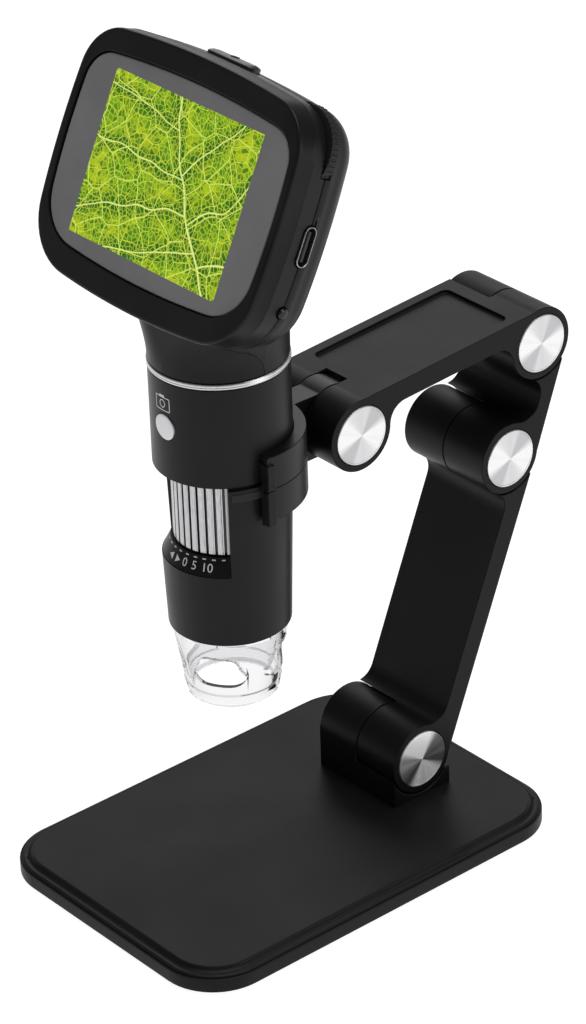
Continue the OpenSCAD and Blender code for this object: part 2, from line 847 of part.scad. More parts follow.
// Solid form of the neck, flared from the barrel's circle up to the head's back
module neck_form() {
    hull() {
        as_scope() translate([0, 0, trim_top]) cylinder(r = barrel_r, h = 6, $fn = 64);
        as_head() translate([0, -head_rise + 16, -head_d + 1.5])
            linear_extrude(head_d - seam_d - 2) round_rect(neck_w, 26, 12.5, $fn = 48);
    }
}

// Where the neck's front cover reaches, up to its curved seam under the head
module neck_front_side() {
    r = 6;
    top = trim_top + 8.9;
    as_scope() extrude_x(-50, 50) {
        translate([-50, trim_top - 20]) square([50, 28.9 - r]);
        translate([-50, trim_top - 20]) square([50 - r, 28.9]);
        translate([-r, top - r]) circle(r);
    }
}

module head_cavity() {
    as_head() back_form(head_wall);
}

module neck_cavity() {
    as_scope() {
        translate([0, 0, neck_z - over]) cylinder(r = spigot_ri, h = trim_top + 7 - neck_z);
        translate([0, -1, trim_top]) rotate([20, 0, 0]) cylinder(r = 8.5, h = 22);
    }
}

module power_slot(grow) {
    translate([0, head_rise - 4, -seam_d]) rotate([-90, 0, 0])
        linear_extrude(8) round_rect(power_l + 2 * grow, power_w + 2 * grow, power_w / 2);
}

module usb_slot(grow) {
    translate([head_w / 2 - usb_deep, usb_v, -seam_d]) rotate([90, 0, 90])
        linear_extrude(usb_deep + over)
            round_rect(usb_l + 2 * grow, usb_w + 2 * grow, usb_w / 2 + grow - e);
}

module lamp_hole(grow) {
    translate([head_w / 2 - 3, lamp_v, -seam_d]) rotate([0, 90, 0])
        cylinder(r = lamp_r + grow, h = 6);
}

module dimmer_slot() {
    translate([dimmer_u, dimmer_v, -seam_d - dimmer_t / 2 - gap])
        cylinder(r = dimmer_r + gap, h = dimmer_t + 2 * gap);
}

module head_openings() {
    power_slot(0.2);
    usb_slot(0.1);
    lamp_hole(0.1);
    dimmer_slot();
}

module post_places() {
    for (x = [-1, 1]) {
        translate([x * post_top[0], post_top[1], 0]) children();
        translate([x * post_low[0], -post_low[1], 0]) children();
    }
}

// Ribs that tie the front shell's screw posts to its wall
module post_ribs() {
    for (x = [-1, 1]) {
        translate([x * post_top[0] - 1.2, post_top[1], -board_d])
            cube([2.4, head_rise - post_top[1] - 1, board_d - glass_t]);
        translate([x > 0 ? post_low[0] : -head_w / 2 + 1, -post_low[1] - 1.2, -board_d])
            cube([head_w / 2 - 1 - post_low[0], 2.4, board_d - glass_t]);
    }
}

module head_front_shell() {
    color(black) as_head() difference() {
        union() {
            difference() {
                swept_head() front_profile();
                head_slab(head_wall, -seam_d - over, -glass_t - 1.2);
                translate([0, 0, -glass_t]) linear_extrude(10)
                    head_rect(glass_w + 2 * fit, glass_h + 2 * fit, glass_r_top, glass_r_low);
                translate([0, 0, -glass_t - 2]) linear_extrude(10)
                    head_rect(glass_w - 3, glass_h - 3, glass_r_top - 1.5, glass_r_low - 1.5);
            }
            post_places() translate([0, 0, -board_d]) cylinder(r = post_r, h = board_d - glass_t);
            post_ribs();
        }
        post_places() translate([0, 0, -board_d - over]) cylinder(r = screw_r - 0.05, h = 4);
        head_openings();
    }
}

module head_back_shell() {
    color(black) difference() {
        union() {
            difference() {
                union() {
                    as_head() back_form(0);
                    difference() {
                        neck_form();
                        neck_front_side();
                    }
                    difference() {
                        as_scope() tube(spigot_r, spigot_ri, neck_z, trim_top + e);
                        neck_front_side();
                    }
                }
                head_cavity();
                neck_cavity();
            }
            as_head() post_places() translate([0, 0, -head_d + 1])
                cylinder(r = post_r + 0.4, h = head_d - 1 - board_d - board_t);
        }
        as_head() {
            post_places() {
                translate([0, 0, -head_d - over]) cylinder(r = screw_r + 0.2, h = head_d);
                translate([0, 0, -head_d - over]) cylinder(r = 2, h = 3.4 + over);
            }
            head_openings();
        }
    }
}

module neck_cover() {
    color(black) difference() {
        union() {
            intersection() {
                neck_form();
                neck_front_side();
            }
            intersection() {
                as_scope() tube(spigot_r, spigot_ri, neck_z, trim_top + e);
                neck_front_side();
            }
        }
        neck_cavity();
        as_head() back_form(0);
    }
}

module screen_glass() {
    color([0.45, 0.46, 0.48]) as_head() translate([0, 0, -glass_t]) linear_extrude(glass_t)
        head_rect(glass_w, glass_h, glass_r_top, glass_r_low);
}

module lcd_module() {
    color([0.2, 0.2, 0.22]) as_head() translate([0, 0, -glass_t - lcd_t])
        linear_extrude(lcd_t) square([lcd_w, lcd_h], center = true);
}

module main_board() {
    color(board_green) as_head() translate([0, 0, -board_d - board_t]) linear_extrude(board_t)
        difference() {
            head_rect(pcb_w, pcb_h, head_top_r - 3.5, head_low_r - 3.5);
            post_places() circle(screw_r + 0.3);
        }
}

module battery() {
    color([0.75, 0.76, 0.78]) as_head()
        translate([-battery_l / 2 - 1, -battery_w / 2 - 0.5, -board_d - board_t - battery_t])
            cube([battery_l, battery_w, battery_t]);
}

module power_button() {
    top = head_rise + power_proud;
    color(black) as_head() translate([0, 0, -seam_d]) rotate([-90, 0, 0]) {
        translate([0, 0, top - 3.2]) linear_extrude(3.2) round_rect(power_l, power_w, power_w / 2 - e);
        translate([0, 0, top - 3.7]) linear_extrude(0.9)
            round_rect(power_l + 2, power_w + 1.2, power_w / 2);
        translate([0, 0, head_rise - 7.4]) linear_extrude(5)
            square([power_l / 5.5, power_w / 2.2], center = true);
    }
}

module power_switch() {
    color([0.8, 0.8, 0.82]) as_head()
        translate([-3, head_rise - 12.4, -board_d - board_t - 3.2]) cube([6, 4.3, 3.2]);
}

module dimmer_wheel() {
    color(dark) as_head() translate([dimmer_u, dimmer_v, -seam_d - dimmer_t / 2]) difference() {
        cylinder(r = dimmer_r, h = dimmer_t);
        translate([0, 0, -over]) cylinder(r = 1.4 + run, h = dimmer_t + 2 * over);
        for (i = [0 : dimmer_notches - 1]) rotate([0, 0, i * 360 / dimmer_notches])
            translate([dimmer_r + 0.1, 0, -over]) cylinder(r = 0.32, h = dimmer_t + 2 * over, $fn = 16);
    }
}

module dimmer_spindle() {
    low = -seam_d - dimmer_t / 2;
    color(steel) as_head() translate([dimmer_u, dimmer_v, 0]) {
        translate([0, 0, low - 0.6]) cylinder(r = 1.4, h = -board_d - board_t - low + 0.6);
        translate([0, 0, low - 0.9]) cylinder(r = 2.2, h = 0.6);
    }
}

module usb_socket() {
    wall = 0.35;
    color(steel) as_head() translate([head_w / 2 - usb_deep, usb_v, -seam_d]) rotate([90, 0, 90]) {
        difference() {
            linear_extrude(usb_deep) round_rect(usb_l, usb_w, usb_w / 2 - e);
            translate([0, 0, 0.8]) linear_extrude(usb_deep)
                round_rect(usb_l - 2 * wall, usb_w - 2 * wall, usb_w / 2 - wall - e);
        }
        translate([0, 0, 0.8 - e]) linear_extrude(usb_deep - 1.6) square([6.7, 0.7], center = true);
    }
}

module status_light() {
    color([0.9, 0.9, 0.92]) as_head() translate([head_w / 2 - 2.2, lamp_v, -seam_d])
        rotate([0, 90, 0]) cylinder(r = lamp_r, h = 2.2);
}

module head_screws() {
    color(steel) as_head() post_places() {
        translate([0, 0, -head_d + 2.4]) {
            cylinder(r = 1.8, h = 1);
            cylinder(r = screw_r - 0.1, h = head_d - 2.4 - board_d + 2.4);
        }
    }
}

base_plate();
base_weight();
base_cover();
base_feet();
base_screws();
lower_arm();
middle_link();
top_arm();
clip();
as_lower() hinge_cap();  // base_hinge_cap
as_middle() hinge_cap();  // elbow_hinge_cap
as_top() hinge_cap();  // top_hinge_cap
at_hinge(hinge_d) hinge_cap();  // front_hinge_cap
at_hinge(hinge_a) hinge_far_cap();  // base_hinge_far_cap
at_hinge(hinge_b) hinge_far_cap();  // elbow_hinge_far_cap
at_hinge(hinge_c) hinge_far_cap();  // top_hinge_far_cap
at_hinge(hinge_d) hinge_far_cap();  // front_hinge_far_cap
at_hinge(hinge_a) hinge_bolt();  // base_hinge_bolt
at_hinge(hinge_b) hinge_bolt();  // elbow_hinge_bolt
at_hinge(hinge_c) hinge_bolt();  // top_hinge_bolt
at_hinge(hinge_d) hinge_bolt();  // front_hinge_bolt
at_hinge(hinge_a) hinge_nut();  // base_hinge_nut
as_lower() translate([0, 0, lower_len]) hinge_nut();  // elbow_hinge_nut
as_middle() translate([0, 0, middle_len]) hinge_nut();  // top_hinge_nut
as_top() translate([0, 0, top_len]) hinge_nut();  // front_hinge_nut
at_hinge(hinge_a) friction_washer(-washer_play / 2);  // base_hinge_washer
at_hinge(hinge_b) friction_washer(-washer_play / 2);  // elbow_hinge_washer
at_hinge(hinge_c) friction_washer(-washer_play / 2);  // top_hinge_washer
at_hinge(hinge_d)  // front_hinge_washers
    for (s = [-1, 1]) friction_washer(s * (tongue_w + gap + washer_play) / 2);
upper_barrel();
lower_barrel();
trim_ring();
snapshot_button();
snapshot_switch();
focus_wheel();
scale_ring();
lens_tube();
objective_lens();
sensor_board();
led_board();
leds();
clear_hood();
head_front_shell();
head_back_shell();
neck_cover();
screen_glass();
lcd_module();
main_board();
battery();
power_button();
power_switch();
dimmer_wheel();
dimmer_spindle();
usb_socket();
status_light();
head_screws();
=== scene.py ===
# %% [markdown]
# # A digital microscope with its own screen, on a folding stand
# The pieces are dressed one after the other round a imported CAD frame. Sizes in the cells are in
# millimetres, and Blender works in metres, so every length is multiplied by MM.

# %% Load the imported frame
import bpy, bmesh, math, json
from mathutils import Matrix, Vector

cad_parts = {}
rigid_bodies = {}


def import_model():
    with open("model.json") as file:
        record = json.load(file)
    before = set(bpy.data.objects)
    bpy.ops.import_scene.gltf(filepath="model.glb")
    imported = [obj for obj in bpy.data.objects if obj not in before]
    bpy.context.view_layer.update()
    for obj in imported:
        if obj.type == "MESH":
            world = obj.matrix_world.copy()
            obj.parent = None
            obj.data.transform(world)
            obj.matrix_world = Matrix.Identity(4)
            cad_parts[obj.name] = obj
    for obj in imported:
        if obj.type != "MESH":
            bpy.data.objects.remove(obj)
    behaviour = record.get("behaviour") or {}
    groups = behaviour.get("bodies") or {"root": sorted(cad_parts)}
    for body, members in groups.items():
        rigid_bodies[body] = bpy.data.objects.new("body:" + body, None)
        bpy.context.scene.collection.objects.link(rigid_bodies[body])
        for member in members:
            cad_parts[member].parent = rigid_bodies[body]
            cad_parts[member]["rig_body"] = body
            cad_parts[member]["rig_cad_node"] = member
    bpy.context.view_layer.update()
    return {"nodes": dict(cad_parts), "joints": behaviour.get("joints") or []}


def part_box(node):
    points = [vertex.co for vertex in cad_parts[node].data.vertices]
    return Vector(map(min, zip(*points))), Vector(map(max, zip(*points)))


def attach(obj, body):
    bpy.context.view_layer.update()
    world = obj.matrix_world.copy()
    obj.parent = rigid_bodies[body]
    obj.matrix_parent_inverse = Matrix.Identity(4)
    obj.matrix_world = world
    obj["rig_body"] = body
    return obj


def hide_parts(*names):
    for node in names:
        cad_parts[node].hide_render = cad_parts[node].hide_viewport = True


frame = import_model()
MM = 0.001
JOINT = {j["name"]: j for j in frame["joints"]}
SHOWN = {}                     # each finished piece and the CAD nodes that it stands for

# %% [markdown]
# Each hinge, the barrel and the head has its own place. The barrel's axis is where the microscope turns
# in its clip. The head leans back, so it is drawn lying flat, with X across the screen, Y up it and Z out
# of the glass, and is then turned into place by one matrix.

# %% Find the places to build on
def moved(x=0, y=0, z=0):
    return Matrix.Translation(Vector((x, y, z)) * MM)

def turned(degrees, axis):
    return Matrix.Rotation(math.radians(degrees), 4, axis)

def facing(*axes):
    return Matrix(axes).transposed().to_4x4()

SEAM = 8.9                     # how far the head's seam lies behind the glass
CORNER_WHEEL = (27.7, 17.8)    # the brightness wheel, from the middle of the head
AXLE = {n: Vector(JOINT[n + "_hinge"]["pos_m"]) / MM for n in ("base", "elbow", "top", "front")}
SCOPE = Vector(JOINT["barrel_turn"]["pos_m"]) / MM
up = -Vector(JOINT["power_press"]["axis"])
out = Vector(JOINT["dimmer_turn"]["axis"])
across = Vector((1, 0, 0))
HEAD_MIDDLE = (Vector(JOINT["dimmer_turn"]["pos_m"]) / MM - CORNER_WHEEL[0] * across
               - CORNER_WHEEL[1] * up + SEAM * out)
HEAD = moved(*HEAD_MIDDLE) @ facing(across, up, out)
BARREL = moved(*SCOPE)
print("barrel axis at", [round(c, 2) for c in SCOPE], "head at", [round(c, 2) for c in HEAD_MIDDLE])

# %% [markdown]
# ## Camera, floor and light
# The view is a three-quarter one from the right and a little above, with a long lens, as in a catalogue.

# %% Set up the camera
def aim_camera(place, azimuth, drop, roll, lens):
    az, el, ro = (math.radians(a) for a in (azimuth, drop, roll))
    ahead = Vector((-math.sin(az) * math.cos(el), math.cos(az) * math.cos(el), -math.sin(el)))
    side = Vector((math.cos(az), math.sin(az), 0))
    top = side.cross(ahead)
    right = math.cos(ro) * side + math.sin(ro) * top
    top = math.cos(ro) * top - math.sin(ro) * side
    bpy.ops.object.camera_add()
    camera = bpy.context.object
    camera.matrix_world = moved(*place) @ facing(right, top, -ahead)
    camera.data.lens = lens
    camera.data.sensor_width = 36
    camera.data.clip_start = 0.01
    return camera

bpy.context.scene.camera = aim_camera((634.64, -528.223, 551.62), azimuth=50.54, drop=29.47,
                                      roll=-2.10, lens=146.72)
bpy.context.scene.view_settings.view_transform = "Standard"
print("camera set")

# %% [markdown]
# Every finish is a small network of nodes. These helpers make one node each and give back its output, so
# a network reads like a formula.

# %% Helpers for nodes
def fill(made, *places, **named):
    """Links an output or types a value into each input. In a name, _ stands for a space."""
    for key, value in (*enumerate(places), *named.items()):
        if value is None:
            continue
        socket = made.inputs[key.replace("_", " ") if isinstance(key, str) else key]
        if isinstance(value, bpy.types.NodeSocket):
            made.id_data.links.new(value, socket)
        else:
            socket.default_value = (*value, 1) if socket.type == "RGBA" else value
    return made

def node(tree, kind, *places, **named):
    made = tree.nodes.new("ShaderNode" + kind)
    for key in [k for k in named if hasattr(made, k)]:
        setattr(made, key, named.pop(key))
    return fill(made, *places, **named)

def maths(tree, operation, *values, clamp=False):
    return node(tree, "Math", *values, operation=operation, use_clamp=clamp).outputs[0]

def vector(tree, operation, *values, scale=None):
    made = node(tree, "VectorMath", *values, operation=operation, Scale=scale)
    return made.outputs["Value" if operation in ("DOT_PRODUCT", "LENGTH") else "Vector"]

def mixed(tree, share, first, second):
    return node(tree, "Mix", share, *[None] * 5, first, second, data_type="RGBA").outputs[2]

def fade(tree, value, start, stop, at_start=1.0, at_stop=0.0, curve="SMOOTHSTEP"):
    return node(tree, "MapRange", Value=value, From_Min=start, From_Max=stop, To_Min=at_start,
                To_Max=at_stop, interpolation_type=curve).outputs["Result"]

print("node helpers ready")

# %% [markdown]
# Patterns are laid on a piece's own coordinates, so they stay on it when it moves. Noise gives soft
# clouds, a ramp turns them into two colours, and a bump makes them felt in the reflections.

# %% Helpers for patterns
def spread(tree, noise, low, high):
    return fade(tree, noise, 0.3, 0.7, low, high, "LINEAR")

def own_place(tree):
    return node(tree, "TexCoord").outputs["Object"]

def cloud(tree, size, detail=2.0, stretch=None):
    """Noise whose lumps are about this many millimetres across, on the piece's own coordinates."""
    spot = own_place(tree)
    if stretch:
        spot = node(tree, "Mapping", Vector=spot, Scale=stretch).outputs["Vector"]
    return node(tree, "TexNoise", Vector=spot, Scale=1 / (size * MM), Detail=detail).outputs["Fac"]

def two_tone(tree, share, first, second, start=0.35, stop=0.68):
    ramp = node(tree, "ValToRGB", Fac=share)
    for element, position, colour in zip(ramp.color_ramp.elements, (start, stop), (first, second)):
        element.position, element.color = position, (*colour, 1)
    return ramp.outputs["Color"]

def bump(tree, height, strength, distance):
    return node(tree, "Bump", Height=height, Strength=strength, Distance=distance * MM).outputs["Normal"]

def new_finish(name):
    mat = bpy.data.materials.new(name)
    mat.use_nodes = True
    return mat, mat.node_tree, mat.node_tree.nodes["Principled BSDF"]

print("pattern helpers ready")

# %% [markdown]
# The studio is a glowing white floor under a dim sky, with a soft box overhead and one behind on each
# side. Black plastic shows mostly what it reflects. What faces up mirrors the box behind on the left, what
# faces the camera mirrors the floor, and what leans back mirrors the dim sky and stays nearly black.

# %% Lay the floor
paper, _, shader = new_finish("floor_paper")
fill(shader, Base_Color=(0.2, 0.2, 0.2), Roughness=0.9, Emission_Color=(1, 1, 1), Emission_Strength=0.94)
bpy.ops.mesh.primitive_plane_add(size=60)
floor = bpy.context.object
floor.name = "studio_floor"
floor.data.materials.append(paper)
print("floor:", floor.name)

# %% Hang the lights
world = bpy.data.worlds.new("studio_air")
bpy.context.scene.world = world
world.use_nodes = True
fill(world.node_tree.nodes["Background"], Color=(1, 1, 1), Strength=0.22)

def soft_box(name, place, look_at, wide, tall, watts):
    bpy.ops.object.light_add(type="AREA", location=Vector(place) * MM)
    lamp = bpy.context.object
    lamp.name = name
    lamp.data.shape = "RECTANGLE"
    lamp.data.size, lamp.data.size_y = wide * MM, tall * MM
    lamp.data.energy = watts
    lamp.rotation_euler = (Vector(look_at) - Vector(place)).to_track_quat("-Z", "Y").to_euler()
    return lamp

soft_box("top_box", (100, 100, 1300), (0, 0, 60), 900, 900, 12)
soft_box("left_box", (-1050, 850, 820), (0, 0, 80), 900, 900, 4.2)
soft_box("right_box", (1200, 500, 420), (0, 0, 120), 400, 700, 3.5)

# %% [markdown]
# ## Working as by hand
# An operator acts on everything that is selected, so each helper first lets go of everything. Faces and
# edges are then picked in code, by their place or by the way they face.

# %% Selecting helpers
def let_go():
    if bpy.context.object and bpy.context.object.mode != "OBJECT":
        bpy.ops.object.mode_set(mode="OBJECT")
    bpy.ops.object.select_all(action="DESELECT")

def take(obj):
    let_go()
    obj.select_set(True)
    bpy.context.view_layer.objects.active = obj
    return obj

def edit(obj, kind="FACE", action="DESELECT"):
    take(obj)
    bpy.ops.object.mode_set(mode="EDIT")
    bpy.ops.mesh.select_mode(type=kind)
    bpy.ops.mesh.select_all(action=action)
    return bmesh.from_edit_mesh(obj.data)

def leave():
    bpy.ops.object.mode_set(mode="OBJECT")

def pick(bm, parts, test):
    for part in parts:
        if test(part):
            part.select_set(True)
    bm.select_flush_mode()

def nudge(obj, start, test, move):
    """Moves the points that pass a test, which gets a point's place from the start in millimetres."""
    bm = edit(obj, "VERT")
    pick(bm, bm.verts, lambda v: test(v.co / MM - start))
    bpy.ops.transform.translate(value=Vector(move) * MM)
    leave()

print("selecting helpers ready")

# %% [markdown]
# Every mesh is finished in the same few ways. Doubled points are merged and faces turned outward, edges
# are softened, another shape is cut away, and the piece is put in its place.

# %% Helpers that finish a mesh
def shade(obj, angle=30):
    """Smooth shading up to an angle, with flat faces kept truly flat beside their rounded edges."""
    take(obj)
    bpy.ops.object.shade_smooth_by_angle(angle=math.radians(angle))
    flat = obj.modifiers.new("flat", "WEIGHTED_NORMAL")
    flat.keep_sharp, flat.weight = True, 100
    bpy.ops.object.modifier_apply(modifier=flat.name)
    return obj

def done(obj, smooth=30):
    edit(obj, action="SELECT")
    bpy.ops.mesh.remove_doubles(threshold=1e-6)
    bpy.ops.mesh.normals_make_consistent(inside=False)
    leave()
    return shade(obj, smooth)

def stepped_disc(name, points, radius, foot, top, insets, dip=0, smooth=30):
    """A disc drawn up from foot to top, whose face is then inset in steps of (inward, upward)."""
    let_go()
    bpy.ops.mesh.primitive_circle_add(vertices=points, radius=radius * MM, fill_type="NGON",
                                      location=(0, 0, foot * MM))
    obj = bpy.context.object
    obj.name = name
    edit(obj, action="SELECT")
    bpy.ops.mesh.extrude_region_move(TRANSFORM_OT_translate={"value": (0, 0, (top - foot) * MM)})
    for inward, upward in insets:
        bpy.ops.mesh.inset(thickness=inward * MM, depth=upward * MM)
    if dip:
        bpy.ops.mesh.poke(offset=-dip * MM)
    leave()
    return done(obj, smooth)

def apply_all(obj):
    take(obj)
    for modifier in list(obj.modifiers):
        bpy.ops.object.modifier_apply(modifier=modifier.name)
    return obj

def place(obj, matrix):
    take(obj)
    obj.matrix_world = matrix @ obj.matrix_world
    bpy.ops.object.transform_apply(location=True, rotation=True, scale=True)
    return obj

def soften(obj, width, segments=3, angle=32):
    bevel = obj.modifiers.new("edge", "BEVEL")
    bevel.width, bevel.segments = width * MM, segments
    bevel.limit_method, bevel.angle_limit = "ANGLE", math.radians(angle)
    bevel.use_clamp_overlap = False
    bevel.harden_normals = False
    return apply_all(obj)

def cut(obj, tool, operation="DIFFERENCE"):
    boolean = obj.modifiers.new("cut", "BOOLEAN")
    boolean.operation, boolean.object, boolean.solver = operation, tool, "EXACT"
    apply_all(obj)
    bpy.data.objects.remove(tool)
    return obj

print("mesh helpers ready")

# %% [markdown]
# A finished piece has one material and rides on one body of the frame. It also notes the CAD nodes that it
# stands for.

# %% Give a piece to its body
def finish(obj, material, *nodes, body="microscope", slot="black_plastic"):
    obj.data.materials.clear()
    obj.data.materials.append(material)
    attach(obj, body)
    SHOWN[obj.name] = nodes
    print(obj.name, "rides on", body, "with", len(obj.data.polygons), "faces")
    return obj

# %% [markdown]
# Some CAD pieces have the right shape and only lack the fine rounding that a mould leaves on every edge.
# A copy of such a piece is merged, cleaned of its triangles and given a small bevel.

# %% Copy a CAD piece and round its edges
def rounded_copy(node, name, width=0.35, segments=3, angle=32, smooth=35, merge=0.002):
    take(frame["nodes"][node])
    bpy.ops.object.duplicate()
    obj = bpy.context.object
    obj.name = name
    bpy.ops.object.parent_clear(type="CLEAR_KEEP_TRANSFORM")
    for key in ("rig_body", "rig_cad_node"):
        if key in obj:
            del obj[key]
    bpy.ops.mesh.customdata_custom_splitnormals_clear()
    edit(obj, action="SELECT")
    bpy.ops.mesh.remove_doubles(threshold=merge * MM)
    bpy.ops.mesh.dissolve_limited(angle_limit=math.radians(0.5))
    leave()
    if width:
        soften(obj, width, segments, angle)
    return shade(obj, smooth)

print("copying helper ready")

# %% [markdown]
# ## Finishes
# Moulded plastic is never one colour. Its gloss drifts over a few centimetres where the mould was
# polished unevenly, and a fine spark-eroded grain breaks up the reflections.

# %% Moulded plastic
def moulded(name, first, second, gloss, grain=0.22, depth=0.10, shine=0.5):
    mat, tree, shader = new_finish(name)
    broad = cloud(tree, 18, 3)
    fill(shader, Base_Color=two_tone(tree, broad, first, second),
         Roughness=spread(tree, broad, gloss - 0.04, gloss + 0.04),
         Normal=bump(tree, cloud(tree, grain), depth, 0.02), Specular_IOR_Level=shine)
    return mat

BLACKS = (0.0050, 0.0050, 0.0056), (0.0078, 0.0078, 0.0086)
stand_black = moulded("stand_black", (0.0030, 0.0030, 0.0034), (0.0052, 0.0052, 0.0057), 0.42, shine=0.13)
base_black = moulded("base_black", *BLACKS, 0.46, shine=0.13)
body_black = moulded("body_black", *BLACKS, 0.38, shine=0.17)
head_black = moulded("head_black", *BLACKS, 0.38, shine=0.15)
clip_black = moulded("clip_black", *BLACKS, 0.34, shine=0.19)
pad_black = moulded("pad_black", (0.010, 0.010, 0.011), (0.016, 0.016, 0.017), 0.36)
knob_black = moulded("knob_black", (0.007, 0.007, 0.008), (0.012, 0.012, 0.013), 0.5, shine=0.25)
foot_grey = moulded("foot_rubber_grey", (0.03, 0.03, 0.03), (0.05, 0.05, 0.05), 0.8, grain=0.4, depth=0.3)
washer_grey = moulded("washer_nylon", (0.05, 0.05, 0.05), (0.08, 0.08, 0.08), 0.55)
battery_foil = moulded("battery_foil", (0.50, 0.51, 0.53), (0.62, 0.63, 0.65), 0.35, depth=0.3)
print("plastics:", len(bpy.data.materials))

# %% [markdown]
# Metal needs a different look for each way it was worked: turned steel, plated trim, and the spun caps with
# fine rings, whose bright and dark wedges meeting in the middle are painted highlight and painted shade in
# their colour.

# %% Metals
def worked_metal(name, first, second, gloss, size=0.6, stretch=(1, 1, 1)):
    mat, tree, shader = new_finish(name)
    noise = cloud(tree, size, 3, stretch)
    fill(shader, Base_Color=two_tone(tree, noise, first, second),
         Roughness=spread(tree, noise, gloss - 0.05, gloss + 0.06),
         Normal=bump(tree, noise, 0.15, 0.01), Metallic=1.0)
    return mat

turned_steel = worked_metal("turned_steel", (0.42, 0.42, 0.44), (0.58, 0.58, 0.60), 0.3, 0.5, (1, 0.15, 0.15))
bright_trim = worked_metal("bright_trim", (0.58, 0.58, 0.59), (0.70, 0.70, 0.71), 0.32, 0.8, (1, 1, 6))
button_silver = worked_metal("button_silver", (0.60, 0.60, 0.62), (0.66, 0.66, 0.68), 0.5, 0.15)
socket_shell = worked_metal("socket_shell", (0.30, 0.30, 0.31), (0.40, 0.40, 0.41), 0.3)

# Each painted pattern of highlight and shade is a sum of waves round the disc: (waves, turn, strength).
FOUR_PAINTED_WEDGES = (2, 2.6, 0.40), (4, 1.9, 0.22), (6, 0.4, 0.14), (10, 2.2, 0.05)
TWO_PAINTED_WEDGES = (2, -2.09, 0.36), (1, -0.52, 0.16), (6, 0.4, 0.12), (10, 2.2, 0.05)

def spun_metal(name, middle, painted_highlight, painted_shade, metal=0.85, wedges=FOUR_PAINTED_WEDGES):
    """Aluminium spun on a lathe: fine rings as a bump, with painted highlight and painted shade in wedges
    round the axle.
    """
    mat, tree, shader = new_finish(name)
    centred = vector(tree, "SUBTRACT", own_place(tree), Vector(middle) * MM)
    parts = node(tree, "SeparateXYZ", centred).outputs
    angle = maths(tree, "ARCTAN2", parts["Z"], parts["Y"])
    painted_wedge_light = 0.5
    for waves, turn, strength in wedges:
        wave = maths(tree, "SINE", maths(tree, "MULTIPLY_ADD", angle, waves, turn))
        painted_wedge_light = maths(tree, "MULTIPLY_ADD", wave, strength, painted_wedge_light)
    rings = node(tree, "TexNoise", W=vector(tree, "LENGTH", centred), Scale=1 / (0.045 * MM), Detail=3.0,
                 noise_dimensions="1D").outputs["Fac"]
    # The bright and dark wedges of the base colour are painted highlight and painted shade.
    fill(shader, Base_Color=two_tone(tree, painted_wedge_light, painted_shade, painted_highlight, 0.15, 0.85),
         Roughness=spread(tree, painted_wedge_light, 0.36, 0.26), Normal=bump(tree, rings, 0.06, 0.006),
         Metallic=metal, Anisotropic=0.6)
    return mat

print("metals ready")

# %% [markdown]
# ## Rings
# Most of the moulded pieces are lofts: one outline drawn at several heights, each a little further in
# or out than the last. An outline is drawn as a walk: a single point is extruded along the straights and
# spun round the corners until it comes back to its start.

# %% Walk an outline
def walk(start, moves, height=0.0):
    """Draws a closed outline in edit mode. A move is (length,) or (radius, degrees, steps), clockwise."""
    x, y, heading = start[0], start[1], 0.0
    bpy.ops.mesh.select_all(action="DESELECT")
    bpy.ops.mesh.primitive_circle_add(vertices=3, radius=1e-6, location=(x * MM, y * MM, height * MM))
    bpy.ops.mesh.merge(type="CENTER")
    for move in moves:
        if len(move) == 1:
            dx, dy = move[0] * math.cos(heading), move[0] * math.sin(heading)
            if abs(move[0]) > 1e-4:
                bpy.ops.mesh.extrude_region_move(
                    TRANSFORM_OT_translate={"value": (dx * MM, dy * MM, 0)})
            x, y = x + dx, y + dy
        else:
            radius, degrees, steps = move
            cx, cy = x + radius * math.sin(heading), y - radius * math.cos(heading)
            bpy.ops.mesh.spin(steps=steps, angle=math.radians(degrees), axis=(0, 0, 1),
                              center=(cx * MM, cy * MM, height * MM))
            heading -= math.radians(degrees)
            x, y = cx - radius * math.sin(heading), cy + radius * math.cos(heading)

def soft_oblong(wide, tall, corner, steps=10, middle=(0, 0)):
    """A rounded rectangle, as a walk."""
    def draw(inward, height):
        w, t, r = wide - 2 * inward, tall - 2 * inward, max(corner - inward, 0.05)
        side = [(w - 2 * r,), (r, 90, steps), (t - 2 * r,), (r, 90, steps)]
        walk((middle[0] - w / 2 + r, middle[1] + t / 2), side * 2, height)
    return draw

def round_line(steps=96):
    def draw(radius, height):
        bpy.ops.mesh.select_all(action="DESELECT")
        bpy.ops.mesh.primitive_circle_add(vertices=steps, radius=radius * MM, location=(0, 0, height * MM))
    return draw

print("outline helpers ready")

# %% [markdown]
# Each ring keeps a number in a layer of the mesh, so that two neighbours can be picked and bridged, even
# where they lie close together. A closed loft also bridges its last ring to its first.

